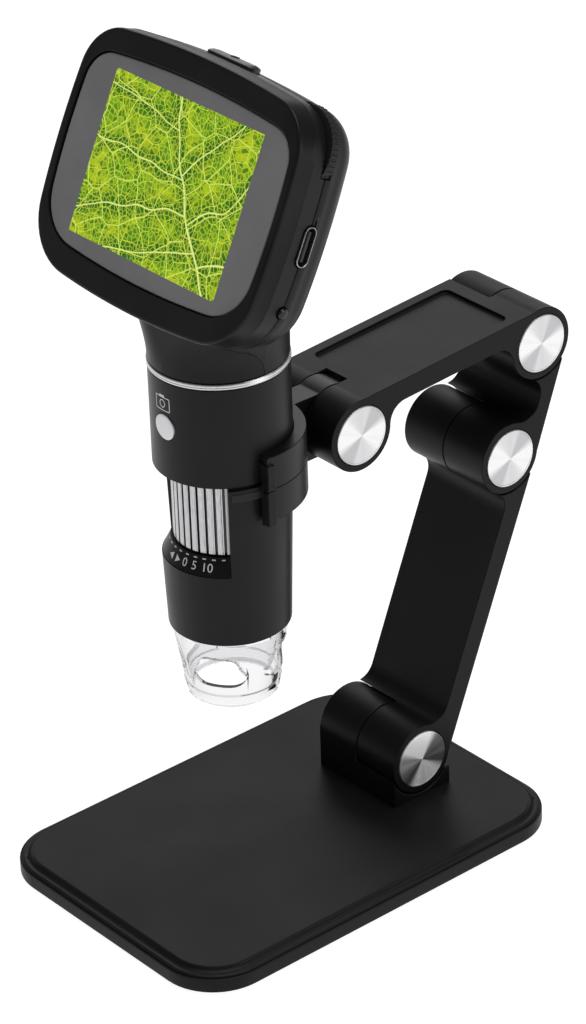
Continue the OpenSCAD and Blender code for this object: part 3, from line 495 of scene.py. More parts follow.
# %% Bridge the rings
def loft(name, rings, caps=(True, True), closed=False, smooth=30):
    """rings: (draw, first number, height) or the same with a matrix. Each is bridged to the next."""
    let_go()
    bpy.ops.mesh.primitive_plane_add(size=1)
    obj = bpy.context.object
    obj.name = name
    edit(obj, "VERT", "SELECT")
    bpy.ops.mesh.delete(type="VERT")
    bmesh.from_edit_mesh(obj.data).verts.layers.int.new("ring")
    for number, (draw, size, height, *turn) in enumerate(rings, 1):
        draw(size, height)
        bm = bmesh.from_edit_mesh(obj.data)
        label = bm.verts.layers.int["ring"]
        fresh = [v for v in bm.verts if v[label] == 0]
        bmesh.ops.remove_doubles(bm, verts=fresh, dist=0.004 * MM)
        fresh = [v for v in bm.verts if v[label] == 0]
        if turn:
            bmesh.ops.transform(bm, matrix=turn[0], verts=fresh)
        for v in fresh:
            v[label] = number
        bmesh.update_edit_mesh(obj.data)
    bpy.ops.mesh.select_mode(type="EDGE")
    count = len(rings)

    def pick_rings(*wanted):
        bm = bmesh.from_edit_mesh(obj.data)
        label = bm.verts.layers.int["ring"]
        bpy.ops.mesh.select_all(action="DESELECT")
        for e in bm.edges:
            a, b = e.verts[0][label], e.verts[1][label]
            if a == b and a in wanted:
                e.select_set(True)
        bmesh.update_edit_mesh(obj.data)

    for i in range(1, count + (1 if closed else 0)):
        pick_rings(i, i % count + 1)
        bpy.ops.mesh.bridge_edge_loops()
    if not closed:
        for cap, i in zip(caps, (1, count)):
            if cap:
                pick_rings(i)
                bpy.ops.mesh.edge_face_add()
    bm = bmesh.from_edit_mesh(obj.data)
    bm.verts.layers.int.remove(bm.verts.layers.int["ring"])
    bmesh.update_edit_mesh(obj.data)
    leave()
    return done(obj, smooth)

def rings_of(draw, *steps):
    return [(draw, *step) for step in steps]

print("ring helpers ready")

# %% [markdown]
# ## The base
# The base is a heavy moulded plate. Its section goes from a hollow underneath, round a low wall, over a
# narrow ledge with a groove, and up a hollow bevel to the flat top.

# %% Model the base plate
HOLLOW_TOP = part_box("base_weight")[1].z / MM + 0.1
BASE_Y = sum(corner.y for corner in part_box("base_plate")) / 2 / MM
outline = soft_oblong(78, 110, 14, 14)
plate = loft("base_top", rings_of(
    outline, (2.4, HOLLOW_TOP), (2.4, 0.6), (0.3, 0.6), (0.08, 0.68), (0, 0.9), (0, 3.7),
    (0.08, 3.95), (0.3, 4.05), (0.42, 4.02), (0.46, 3.9), (0.66, 3.9), (0.70, 4.15), (0.82, 4.42),
    (1.08, 4.58), (1.34, 4.58), (1.6, 4.5), (1.95, 4.5), (2.35, 4.62), (2.7, 4.86), (2.96, 5.2),
    (3.08, 5.45), (3.2, 5.55), (3.4, 5.6)), smooth=24)
finish(place(plate, moved(y=BASE_Y)), base_black, "base_plate", body="base")

# %% [markdown]
# The lug that carries the first hinge is the same moulding. It keeps its CAD shape, cut off level with
# the top, and only gets its rounded edges.

# %% Cut out the lug
lug = rounded_copy("base_plate", "base_lug", width=0)
edit(lug, action="SELECT")
bpy.ops.mesh.bisect(plane_co=(0, 0, 5.62 * MM), plane_no=(0, 0, 1), use_fill=True, clear_inner=True,
                    threshold=1e-6)
leave()
nudge(lug, Vector(), lambda p: p.z < 5.7, (0, 0, -0.3))
finish(shade(soften(lug, 0.3), 35), stand_black, "base_plate", body="base")

# %% [markdown]
# ## The folding arms
# Three links with half-width knuckles. They come from the same mould shop as the base: satin black, with
# edges rounded to about a quarter of a millimetre. The lower arm's front is closed flush: the shallow
# lightening pocket of the frame model is removed and the hole in the face filled.

# %% Round the arms
def slab(name, low, high, matrix):
    let_go()
    bpy.ops.mesh.primitive_cube_add(size=1)
    block = bpy.context.object
    block.name = name
    block.scale = (Vector(high) - Vector(low)) * MM
    block.location = (Vector(high) + Vector(low)) / 2 * MM
    bpy.ops.object.transform_apply(location=True, scale=True)
    return place(block, matrix)

along = (AXLE["elbow"] - AXLE["base"]).normalized()
LOWER = moved(*AXLE["base"]) @ facing(across, along.cross(across), along)
length = (AXLE["elbow"] - AXLE["base"]).length

def in_pocket(point):
    """Is this point of the lower arm on the floor of its pocket?"""
    p = LOWER.inverted() @ point / MM
    return 4.6 < p.y < 5.0 and abs(p.x) < 10.7 and 13 < p.z < length - 13

for name in ("lower_arm", "middle_link", "top_arm"):
    arm = rounded_copy(name, name + "_moulding", width=0, merge=0.13)
    if name == "lower_arm":
        bm = edit(arm, "VERT")
        pick(bm, bm.verts, lambda v: in_pocket(v.co))
        bpy.ops.mesh.delete(type="VERT")
        bpy.ops.mesh.select_non_manifold()
        bpy.ops.mesh.edge_face_add()
        bpy.ops.mesh.select_all(action="SELECT")
        bpy.ops.mesh.dissolve_limited(angle_limit=math.radians(0.5))
        leave()
    if name == "top_arm":
        above = across.cross((AXLE["top"] - AXLE["front"]).normalized())
        nudge(arm, AXLE["front"], lambda p: abs(p.x) < 10.7 and abs(p.dot(above) - 7.2) < 0.06, above * 0.6)
    finish(shade(soften(arm, 0.18), 35), stand_black, name, body=name)

# %% [markdown]
# ## Hinge caps
# Each hinge's bolt is hidden by a disc of spun aluminium, with a thin polished edge. One disc is modelled
# lying flat and placed with a mesh of its own in each of the eight seats.

# %% Spin the caps
EDGE_STEPS = ((0.06, 0.08), (0.10, 0.06), (0.30, 0.0), (0.05, -0.06), (0.25, 0.0))
# Colours of the painted highlight and painted shade on the caps; the base caps also get their metal and wave
# pattern.
BRIGHT_PAINTED_WEDGES = (0.84, 0.84, 0.85), (0.50, 0.50, 0.51)
DARKER_PAINTED_WEDGES = (0.98, 0.98, 0.98), (0.06, 0.06, 0.06), 0.3, TWO_PAINTED_WEDGES
NEAR = facing((0, 1, 0), (0, 0, 1), (1, 0, 0))
FAR = facing((0, 0, 1), (0, 1, 0), (-1, 0, 0))
for name, axle in AXLE.items():
    for side, turn in (("", NEAR), ("_far", FAR)):
        cad = f"{name}_hinge{side}_cap"
        disc = stepped_disc(f"{name}{side}_disc", 96, 7.08, 12.3, 13.56, EDGE_STEPS, dip=0.02)
        finish(place(disc, moved(*axle) @ turn),
               spun_metal(f"spun_{name}{side}", axle, *(DARKER_PAINTED_WEDGES if name == "base" else BRIGHT_PAINTED_WEDGES)), cad,
               body=frame["nodes"][cad]["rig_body"], slot="spun_disc")

# %% [markdown]
# ## The clip
# The clip is a springy C of plastic with a lip down each end. A seam line runs round its middle where the
# two halves of the mould met. The lips are pulled down a little so that they stand out below, and each
# gets two fine grooves for the thumb.

# %% Round the clip and cut its seam
CLIP_HALF = 7.9                # half the clip's height
LIP_TURN = math.radians(-8)    # where the right lip stands, from X
clip = rounded_copy("clip", "clip_moulding", width=0)
seam = loft("seam_tool", rings_of(round_line(), (18.48, -0.1), (19.5, -0.12), (19.5, 0.04), (18.48, 0.02)),
            closed=True)
cut(clip, place(seam, BARREL))
nudge(clip, SCOPE, lambda p: p.z < -CLIP_HALF - 0.3, (0, 0, -1.1))
nudge(clip, SCOPE, lambda p: abs(p.z - CLIP_HALF + 0.4) < 0.05, (0, 0, -1.3))
nudge(clip, SCOPE, lambda p: p.z < -CLIP_HALF - 1.2 and p.xy.length > 18.6, (0, 0, 0.9))
for side in (1, -1):
    outward = Vector((side * math.cos(LIP_TURN), math.sin(LIP_TURN), 0))
    forward = Vector((side * math.sin(LIP_TURN), -math.cos(LIP_TURN), 0))
    nudge(clip, SCOPE, lambda p: p.dot(forward) > 1.5 and p.dot(outward) > 15, -1.3 * forward)
    for reach in (17.2, 18.3):
        cut(clip, slab("groove_tool", (reach, -0.05, -12), (reach + 0.3, 1, 12),
                       BARREL @ facing(outward, forward, (0, 0, 1))))
finish(shade(soften(clip, 0.12, 2), 35), clip_black, "clip", body="clip")

# %% [markdown]
# Behind each lip a short finger of the clip reaches round the barrel, just below the joint between its
# two halves. It is cut from a ring by two blocks whose corners stand on the barrel's axis.

# %% Model the clip's fingers
for name, low, high in (("right_finger", -33, -7), ("left_finger", 187, 213)):
    finger = loft(name, rings_of(round_line(), (15.9, -2.5), (16.5, -2.53), (16.7, -2.3), (16.7, -0.55),
                                 (16.5, -0.35), (15.9, -0.38)), closed=True)
    for degrees in (low, high - 90):
        cut(finger, slab("wedge_tool", (0, 0, -5), (40, 40, 5), turned(degrees, "Z")), "INTERSECT")
    finish(place(shade(soften(finger, 0.15, 2, 50), 35), BARREL), knob_black, "clip", body="clip")

# %% [markdown]
# ## The barrel
# The upper barrel is a plain tube with softly rounded ends, so it is lofted from circles. The hole for the
# button is cut through its front.

# %% Model the upper barrel
BUTTON_RADIUS = 3.05
BUTTON_HOLE = BUTTON_RADIUS + 0.15
TO_FRONT = moved(z=13.7) @ turned(90, "X")    # lays a piece drawn upright at the button's height
circle = round_line(128)
tube = loft("upper_barrel_tube", rings_of(
    circle, (14.2, 0.75), (15.5, 0.72), (15.66, 0.78), (15.75, 0.95), (15.75, 12.0), (15.75, 24.6),
    (15.68, 24.82), (15.5, 24.98), (14.2, 25.0)), closed=True)
cut(tube, place(loft("hole_tool", rings_of(round_line(64), (BUTTON_HOLE, 10), (BUTTON_HOLE, 20))), TO_FRONT))
finish(shade(place(soften(tube, 0.12, 2, 40), BARREL)), body_black, "upper_barrel")

# %% [markdown]
# The lower barrel is cut open by the focus window. Its CAD shape is right, so it gets soft edges only.

# %% Round the lower barrel
lower = rounded_copy("lower_barrel", "lower_barrel_moulding", 0.14, 3, 40)
finish(lower, body_black, "lower_barrel")

# %% [markdown]
# The bright ring between barrel and neck is plated: a flat band between two rounded edges.

# %% Model the trim ring
ring = loft("trim_band", rings_of(
    circle, (14.2, 25.07), (15.55, 25.05), (15.8, 25.12), (15.93, 25.3), (15.96, 25.55), (15.86, 25.7),
    (15.86, 25.85), (15.96, 26.0), (15.93, 26.25), (15.8, 26.42), (15.55, 26.48), (14.2, 26.46)),
    closed=True, smooth=40)
finish(place(ring, BARREL), bright_trim, "trim_ring", slot="silver_trim")

# %% [markdown]
# The shutter button is a shallow dome. It starts as a disc; the face is inset again and again, and each
# inset rises a little less than the one before.

# %% Model the shutter button
def domed_stud(name, radius, foot, rim, crown):
    shares = ((0.05, 0.34), (0.07, 0.22), (0.12, 0.18), (0.2, 0.14), (0.24, 0.08), (0.2, 0.04))
    steps = [(inward * radius, upward * (crown - rim)) for inward, upward in shares]
    return stepped_disc(name, 64, radius, foot, rim, steps, smooth=40)

shutter = place(domed_stud("shutter_stud", BUTTON_RADIUS, 13.1, 15.85, 16.12), BARREL @ TO_FRONT)
finish(shutter, button_silver, "snapshot_button", body="snapshot_button", slot="silver_trim")

# %% [markdown]
# Above the button a small camera is printed in pale grey. It is a thin sheet: two outlines and a hump,
# shrunk on to the barrel so that it follows the curve.

# %% Print the camera sign
def frame_line(name, wide, tall, corner, line, middle=(0, 0)):
    """A flat outline of even width: a filled oblong whose middle is inset and deleted."""
    obj = loft(name, rings_of(soft_oblong(wide, tall, corner, 6, middle), (0, 0)), caps=(False, True))
    edit(obj, action="SELECT")
    bpy.ops.mesh.inset(thickness=line * MM, depth=0)
    bpy.ops.mesh.delete(type="FACE")
    leave()
    return obj

def join_up(name, *parts):
    take(parts[0])
    for part in parts[1:]:
        part.select_set(True)
    bpy.ops.object.join()
    bpy.context.object.name = name
    return bpy.context.object

body_line = frame_line("sign_body", 5.2, 3.4, 0.35, 0.22)
lens_line = frame_line("sign_lens", 2.0, 2.0, 0.98, 0.22)
hump = loft("sign_hump", rings_of(soft_oblong(1.8, 0.55, 0.1, 3, (-0.1, 1.85)), (0, 0)), caps=(False, True))
sign = join_up("camera_sign", body_line, lens_line, hump)
edit(sign, action="SELECT")
bpy.ops.mesh.quads_convert_to_tris()
bpy.ops.mesh.subdivide(number_cuts=3)
leave()
place(sign, BARREL @ moved(-0.55, -17, 19.3) @ turned(90, "X"))
wrap = sign.modifiers.new("wrap", "SHRINKWRAP")
wrap.wrap_method, wrap.target, wrap.offset = "NEAREST_SURFACEPOINT", tube, 0.02 * MM
ink = sign.modifiers.new("ink", "SOLIDIFY")
ink.thickness, ink.offset = 0.012 * MM, 0
done(apply_all(sign))
print_grey = moulded("print_grey", (0.60, 0.60, 0.61), (0.68, 0.68, 0.69), 0.5, grain=0.1, depth=0.05)
finish(sign, print_grey, slot="silver_trim")

# %% [markdown]
# ## The focus wheel and its scale
# The ribbed wheel is plated, and the grooves between its ribs are painted dark as painted shade, so its
# finish looks at how far a point is from the barrel's axis.

# %% Plate the wheel's ribs and paint shade in its grooves
def ribbed_plating_and_groove_shade(name, middle, radius):
    mat, tree, shader = new_finish(name)
    centred = vector(tree, "SUBTRACT", own_place(tree), Vector(middle) * MM)
    reach = vector(tree, "LENGTH", vector(tree, "MULTIPLY", centred, (1, 1, 0)))
    rib_outside_groove_shade = fade(tree, reach, (radius - 0.14) * MM, (radius - 0.01) * MM, 0.0, 1.0, "LINEAR")
    streaks = cloud(tree, 0.12, 3, (1, 1, 0.06))
    silver = two_tone(tree, streaks, (0.42, 0.42, 0.43), (0.66, 0.66, 0.67))
    # Painted shade: below the rib tops the colour turns dark, standing in for the shadow in the grooves.
    fill(shader, Base_Color=mixed(tree, rib_outside_groove_shade, (0.05, 0.05, 0.055), silver),
         Roughness=spread(tree, streaks, 0.28, 0.42), Metallic=0.8)
    return mat

print("plating ready")

# %% [markdown]
# The wheel is a loft with two kinds of outline: plain circles at its ends, and between them a circle whose
# points are drawn inwards where the grooves are.

# %% Model the focus wheel
WHEEL_RADIUS = 11.9
RIBS, RIB_POINTS = 36, 20
GROOVE = 0, 1, 2, RIB_POINTS - 2, RIB_POINTS - 1
FINE_LINE = 14,

def ribbed_line(radius, height):
    """A circle with a deep groove between two ribs and a fine line along each rib."""
    points = RIBS * RIB_POINTS
    round_line(points)(radius, height)
    bm = bmesh.from_edit_mesh(bpy.context.object.data)
    fresh = [v for v in bm.verts if v.select]
    for wanted, depth in ((GROOVE, 0.55), (FINE_LINE, 0.06)):
        bpy.ops.mesh.select_all(action="DESELECT")
        for v in fresh:
            v.select_set(round(math.atan2(v.co.y, v.co.x) / (2 * math.pi) * points) % RIB_POINTS in wanted)
        share = (radius - depth) / radius
        bpy.ops.transform.resize(value=(share, share, 1), center_override=(0, 0, height * MM))

plain_line = round_line(RIBS * RIB_POINTS)
wheel = loft("focus_knurl", rings_of(plain_line, (10.2, -18.2))
             + rings_of(ribbed_line, (11.6, -18.15), (WHEEL_RADIUS, -17.9), (WHEEL_RADIUS, 2.8))
             + rings_of(plain_line, (11.2, 3.0), (10.2, 2.97)), closed=True, smooth=25)
finish(place(wheel, BARREL), ribbed_plating_and_groove_shade("wheel_plating", SCOPE, WHEEL_RADIUS), "focus_wheel",
       body="focus_wheel", slot="silver_trim")

# %% [markdown]
# The cone below the wheel starts as its CAD shape, with its top lowered a little so that the wheel's ribs
# show down to their ends.

# %% Lower the cone
CONE_LOW, CONE_TOP = (14.5, -22.4), (12.05, -17.5)
cone = rounded_copy("scale_ring", "scale_cone", width=0)
nudge(cone, SCOPE, lambda p: p.z > -17.7, (0, 0, -0.8))
finish(shade(soften(cone, 0.1, 2), 35), body_black, "scale_ring")

# %% [markdown]
# Its ticks, arrows and plain figures are raised by a few hundredths of a millimetre. Each is one small
# piece, turned to its own angle and leant back with the cone.

# %% Print the scale
def on_cone(angle, height):
    """Where a mark sits on the cone, and how it leans."""
    (low_radius, low), (top_radius, top) = CONE_LOW, CONE_TOP
    slope = (low_radius - top_radius) / (top - low)
    radius = low_radius - slope * (height - low)
    return (BARREL @ turned(angle + 90, "Z") @ moved(0, -(radius + 0.03), height)
            @ turned(90 - math.degrees(math.atan(slope)), "X"))

def figure(text, size):
    let_go()
    bpy.ops.object.text_add()
    words = bpy.context.object
    words.data.body = text
    words.data.size = size * MM
    words.data.align_x, words.data.align_y = "CENTER", "CENTER"
    words.data.extrude = 0.01 * MM
    bpy.ops.object.convert(target="MESH")
    return done(bpy.context.object)

marks = []
for i in range(12):
    tick = loft("tick", rings_of(soft_oblong(0.85, 0.28, 0.08, 3), (0, 0), (0, 0.02)))
    marks.append(place(tick, on_cone(-152.5 + 10 * i, -18.85)))
for angle, label in ((-83, "0"), (-72, "5"), (-58.5, "10")):
    marks.append(place(figure(label, 2.8), on_cone(angle, -20.6)))
for angle, turn in ((-93.5, -90), (-102.5, 90)):
    arrow = stepped_disc("arrow", 3, 1.0, 0, 0.02, [(0.04, 0)])
    marks.append(place(arrow, on_cone(angle, -20.6) @ turned(turn, "Z")))
finish(join_up("scale_print", *marks), print_grey, slot="silver_trim")

# %% [markdown]
# ## The clear hood
# The hood is moulded in clear acrylic. Clear plastic shows by its edges: where the wall is seen along its
# length it turns grey, and so do the cut sides of its arches. So the tint deepens towards grazing sight,
# and the cut faces get a greyer finish of their own.

# %% Clear plastic and glass
def clear_stuff(name, face_on, edge_on, ior, gloss, see_through=1.0):
    mat, tree, shader = new_finish(name)
    sight = node(tree, "LayerWeight", Blend=0.35).outputs["Facing"]
    fill(shader, Base_Color=two_tone(tree, sight, face_on, edge_on, 0.25, 0.95),
         Normal=bump(tree, cloud(tree, 2.5, 1), 0.05, 0.05), Transmission_Weight=see_through,
         Roughness=gloss, IOR=ior)
    return mat

acrylic = clear_stuff("clear_acrylic", (0.82, 0.82, 0.83), (0.46, 0.46, 0.47), 1.11, 0.03)
acrylic_edge = clear_stuff("acrylic_edge", (0.70, 0.70, 0.71), (0.50, 0.50, 0.51), 1.1, 0.12, 0.7)
coated_glass = clear_stuff("coated_glass", (0.88, 0.92, 0.97), (0.5, 0.55, 0.6), 1.5, 0.01)
print("clear finishes:", acrylic.name, acrylic_edge.name, coated_glass.name)

# %% Model the hood
hood = loft("hood_shell", rings_of(
    circle, (10.1, -38.78), (11.05, -38.8), (11.1, -38.9), (11.1, -40.43), (13.2, -40.45), (13.4, -40.6),
    (13.4, -41.3), (13.28, -41.5), (12.2, -48.0), (11.1, -54.9), (11.06, -55.2), (11.14, -55.35),
    (11.1, -55.6), (10.75, -57.9), (10.55, -58.35), (10.2, -58.6), (9.3, -58.57), (9.1, -58.4),
    (9.1, -57.75), (9.2, -57.5), (9.75, -55.2), (11.0, -48.0), (11.95, -42.1), (11.6, -41.7),
    (10.3, -41.5), (10.1, -41.3)),
    closed=True, smooth=28)
for quarter_turn in range(4):
    arch = loft("arch_tool", rings_of(soft_oblong(9.4, 7.8, 2.6, 8, (0, -48.9)), (0, 6), (0, 18)))
    bm = edit(arch, "VERT")
    pick(bm, bm.verts, lambda v: v.co.y < -49 * MM)
    bpy.ops.transform.resize(value=(1.3, 1, 1), center_override=(0, 0, 0))
    leave()
    cut(hood, place(arch, turned(35 + 90 * quarter_turn, "Z") @ turned(90, "X")))
place(shade(soften(hood, 0.12, 2, 50), 28), BARREL)
finish(hood, acrylic, "clear_hood", body="hood", slot="clear_plastic")
hood.data.materials.append(acrylic_edge)
for face in hood.data.polygons:
    away = face.center / MM - SCOPE
    height, away.z = away.z, 0
    arch_side = -57 < height < -42 and abs(face.normal.dot(away.normalized())) < 0.5
    rim = (-55.5 < height < -54.8 or height < -58) and away.length > 9.9
    face.material_index = int(arch_side or rim)
print("cut faces of the hood:", sum(face.material_index for face in hood.data.polygons))

# %% [markdown]
# ## The head's outline
# The head isn't a plain rounded rectangle: its sides swell a little, which is what makes it look soft.
# So its outline is eight arcs that run into each other. The swell is given as a few degrees of turn, and
# the large radii follow from the width and the height.

# %% Draw the swelling outline
def swelling(wide, tall, r_top, r_low, drop=0, turn_top=5.6, turn_side=4.6, steps=(8, 12, 6)):
    a, s = math.radians(turn_top), math.radians(turn_side)
    flat = math.cos(s) - math.sin(a)
    bend = math.cos(a) - math.sin(s)
    # across: wide/2 = R sin a + r flat + S (1 - cos s), for the top and for the bottom
    # down:   tall = (R_top + R_low)(1 - cos a) + (r_top + r_low) bend + 2 S sin s
    k = (1 - math.cos(a)) / math.sin(a)
    side = ((tall - (wide - (r_top + r_low) * flat) * k - (r_top + r_low) * bend)
            / (2 * math.sin(s) - 2 * (1 - math.cos(s)) * k))
    top = (wide / 2 - r_top * flat - side * (1 - math.cos(s))) / math.sin(a)
    low = (wide / 2 - r_low * flat - side * (1 - math.cos(s))) / math.sin(a)

    def draw(inward, height):
        t, b, c, d, e = top - inward, low - inward, side - inward, r_top - inward, r_low - inward
        corner = 90 - turn_top - turn_side
        half = [(t, turn_top, steps[0]), (d, corner, steps[1]), (c, turn_side, steps[2]),
                (c, turn_side, steps[2]), (e, corner, steps[1]), (b, turn_top, steps[0])]
        walk((0, tall / 2 - inward - drop), half + half[::-1], height)
    return draw

head_line = swelling(74, 57.8, 11.6, 14.8, 0.5)
glass_line = swelling(68.2, 45.0, 7.6, 11.4, 0.2)
print("head outlines ready")

# %% [markdown]
# ## The head's front shell
# From the seam the side swells to a soft ridge, leans in to the rounded rim, crosses the wide black
# bezel, and drops into the pocket that holds the glass. The same loft goes back down inside, so the
# shell has a real wall.

# %% Model the front shell
front = loft("head_front", rings_of(
    head_line, (1.6, -8.9), (0.62, -8.9), (0.42, -8.7), (0.30, -7.4), (0.10, -5.2), (0.02, -4.6),
    (0.0, -4.3), (0.05, -4.0), (0.14, -3.7), (0.30, -1.7), (0.34, -0.9), (0.38, -0.35), (0.45, -0.02),
    (0.6, 0.22), (0.85, 0.36), (1.2, 0.4))
    + rings_of(glass_line, (-0.42, 0.38), (-0.3, 0.3), (-0.25, 0.15), (-0.25, -1.25), (1.5, -1.25),
               (1.5, -2.6))
    + rings_of(head_line, (1.9, -2.8), (1.7, -4.0), (1.6, -8.9)), caps=(False, False), smooth=28)
print("front shell faces:", len(front.data.polygons))

# %% [markdown]
# The back shell carries on from the seam and turns over a wide radius to the flat back. It is lofted
# from the inside of the back, forwards, round the seam's edge and back over the outside.

# %% Model the back shell
def quarter(radius, count):
    return [(radius * (1 - math.cos(a)), radius * math.sin(a)) for a in
            (math.radians(90 * i / count) for i in range(1, count + 1))]

inner = [(2.3 + i, -12.3 - o) for i, o in quarter(5.1, 5)][::-1]
outer = [(0.9 + i, -12.3 - o) for i, o in quarter(6.7, 9)]
back = loft("head_back", rings_of(
    head_line, *inner, (2.3, -12.3), (1.6, -8.9), (0.62, -8.9), (0.42, -9.1), (0.36, -9.7), (0.44, -10.6),
    (0.62, -11.5), (0.9, -12.3), *outer), smooth=28)
print("back shell faces:", len(back.data.polygons))

# %% [markdown]
# ## The neck
# The neck grows out of the barrel as a circle and ends in the back of the head as a wide oblong that
# leans with it. It is a sweep: each ring along the way is a little wider, a little more oblong and turned
# a little further, and the change starts slowly, which gives the flare under the head.

# %% Model the neck
NECK_FOOT = 31.5, 31.5, 15.74    # width, depth and corner radius where the neck leaves the barrel
NECK_END = 55.5, 27.2, 12.5      # the same where it ends in the head

def neck_form(name, steps=12):
    lean = BARREL.inverted() @ HEAD @ moved(0, -12.4, -13.4) @ turned(-17.3, "X")
    first, last = Vector((0, 0, 27.8 * MM)), lean.to_translation()
    first_way = first + Vector((0, 0, 7 * MM))
    last_way = last - lean.to_3x3() @ Vector((0, 0, 7 * MM))
    turn = lean.to_quaternion()
    rings = [(soft_oblong(*NECK_FOOT, 12), *ring) for ring in ((0.3, 26.52), (0.0, 26.8), (0.0, 27.8))]
    for i in range(1, steps + 1):
        t = i / steps
        way = ((1 - t) ** 3 * first + 3 * t * (1 - t) ** 2 * first_way
               + 3 * t * t * (1 - t) * last_way + t ** 3 * last)
        pose = Matrix.Translation(way) @ Matrix().to_quaternion().slerp(turn, t).to_matrix().to_4x4()
        shape = [a + (b - a) * t ** 1.8 for a, b in zip(NECK_FOOT, NECK_END)]
        rings.append((soft_oblong(*shape, 12), 0.0, 0.0, pose))
    rings.append((soft_oblong(*NECK_END, 12), 2.0, 1.5, lean))
    return loft(name, rings, smooth=40)

neck = place(neck_form("neck_loft"), BARREL)
print("neck faces:", len(neck.data.polygons))

# %% [markdown]
# The neck and the back of the head are one moulding, and the neck's front is a cover of its own. Its seam
# runs up the middle of the barrel, turns forward and then follows the head's underside, so one block with
# a sloping top and a rounded edge parts the two.

# %% Part the neck along its seam
def neck_block(name):
    block = slab(name, (-50, -50, -4.6), (50, 0, 31.3), Matrix())
    nudge(block, Vector(), lambda p: p.y < -1 and p.z > 20, (0, 0, 50 * out.z / -out.y))
    bm = edit(block, "EDGE")
    pick(bm, bm.edges, lambda e: all(v.co.y > -1 * MM and v.co.z > 20 * MM for v in e.verts))
    bpy.ops.mesh.bevel(offset=4.6 * MM, segments=12)
    leave()
    return place(block, BARREL)

take(neck)
bpy.ops.object.duplicate()
cover = bpy.context.object
cover.name = "neck_cover_moulding"
cut(cover, neck_block("seam_block"), "INTERSECT")
cut(neck, neck_block("seam_block"))
for part in (cover, neck):
    shade(soften(part, 0.14, 2, 50), 35)
neck.name = "neck_back_moulding"
finish(cover, head_black, "neck_cover")
finish(neck, head_black, "head_back_shell")

# %% [markdown]
# ## Openings in the head
# The seam carries the controls: the long power button on top, the brightness wheel at the corner, the
# charging socket on the right side and a small light below it. Each opening is cut with a block of its
# own outline through both shells.

# %% Cut the openings
SOCKET, LAMP = (-1.1, 0), (-15.9, 0)    # along the seam, from the middle of the side

def prism(name, draw, low, high, matrix):
    return place(loft(name, rings_of(draw, (0, low), (0, high))), matrix)

POWER = HEAD @ moved(z=-SEAM) @ turned(-90, "X")
SIDE = HEAD @ moved(z=-SEAM) @ NEAR
WHEEL = HEAD @ moved(*CORNER_WHEEL, -SEAM)
place(front, HEAD)
place(back, HEAD)
for shell in (front, back):
    cut(shell, prism("power_tool", soft_oblong(15.8, 4.8, 2.39), 24, 34, POWER))
    cut(shell, prism("socket_tool", soft_oblong(9.5, 3.8, 1.89, 10, SOCKET), 29, 45, SIDE))
    cut(shell, prism("lamp_tool", soft_oblong(2.9, 2.9, 1.44, 10, LAMP), 33, 45, SIDE))
    cut(shell, place(loft("wheel_tool", rings_of(round_line(), (9.55, -1.45), (9.55, 1.45))), WHEEL))
    shade(soften(shell, 0.12, 2, 46), 30)
finish(front, head_black, "head_front_shell")

# %% Sink the screws into the back
for x, y in ((-13.5, 22.9), (-31.4, -13.6), (13.5, 22.9), (31.4, -13.6)):
    at = HEAD @ moved(x, y)
    cut(back, place(loft("screw_post", rings_of(round_line(32), (2.4, -16.8), (2.4, -8.0))), at), "UNION")
    sink = loft("screw_tool", rings_of(round_line(48), (2.0, -15.6), (2.0, -18.7), (2.4, -19.2)))
    cut(back, place(sink, at))
finish(back, head_black, "head_back_shell")

# %% [markdown]
# ## The screen
# The glass is one slab with a fine chamfer. Its back is printed grey round the picture, so one finish
# does both: inside the lit area it glows with the picture, outside it is grey print under gloss.
#
# The picture is a leaf under the microscope. A few large veins are line segments, given by their ends,
# whose distance is worked out with nodes. Between them lie ever smaller cells, and each size of cell is
# one Voronoi pattern seen by the distance to its borders.

# %% Draw the leaf
MAIN_VEINS = (                 # start, end and half the width, in millimetres
    ((21.5, -18.6), (11.0, -6.5), 0.20), ((11.0, -6.5), (3.2, 4.0), 0.18), ((3.2, 4.0), (-3.4, 18.8), 0.15),
    ((14.6, -10.8), (-12.5, -18.8), 0.10), ((9.2, -4.2), (-6.0, -6.6), 0.11),
    ((-6.0, -6.6), (-24.8, -12.4), 0.09), ((4.4, 2.2), (-24.8, 4.0), 0.10),
    ((16.6, -13.0), (24.8, -9.8), 0.10), ((10.4, -5.8), (20.0, 0.6), 0.11), ((20.0, 0.6), (24.8, 7.0), 0.09),
    ((3.8, 3.0), (18.6, 18.8), 0.10), ((-0.2, 11.5), (-24.8, 15.6), 0.08))

def stirred(tree, spot, flat, scale, detail, reach):
    """Pushes a place about at random, so that drawn lines waver."""
    noise = node(tree, "TexNoise", Vector=spot, Scale=scale, Detail=detail).outputs["Color"]
    push = vector(tree, "SUBTRACT", noise, (0.5, 0.5, 0.5))
    return vector(tree, "ADD", flat, vector(tree, "SCALE", push, scale=reach))

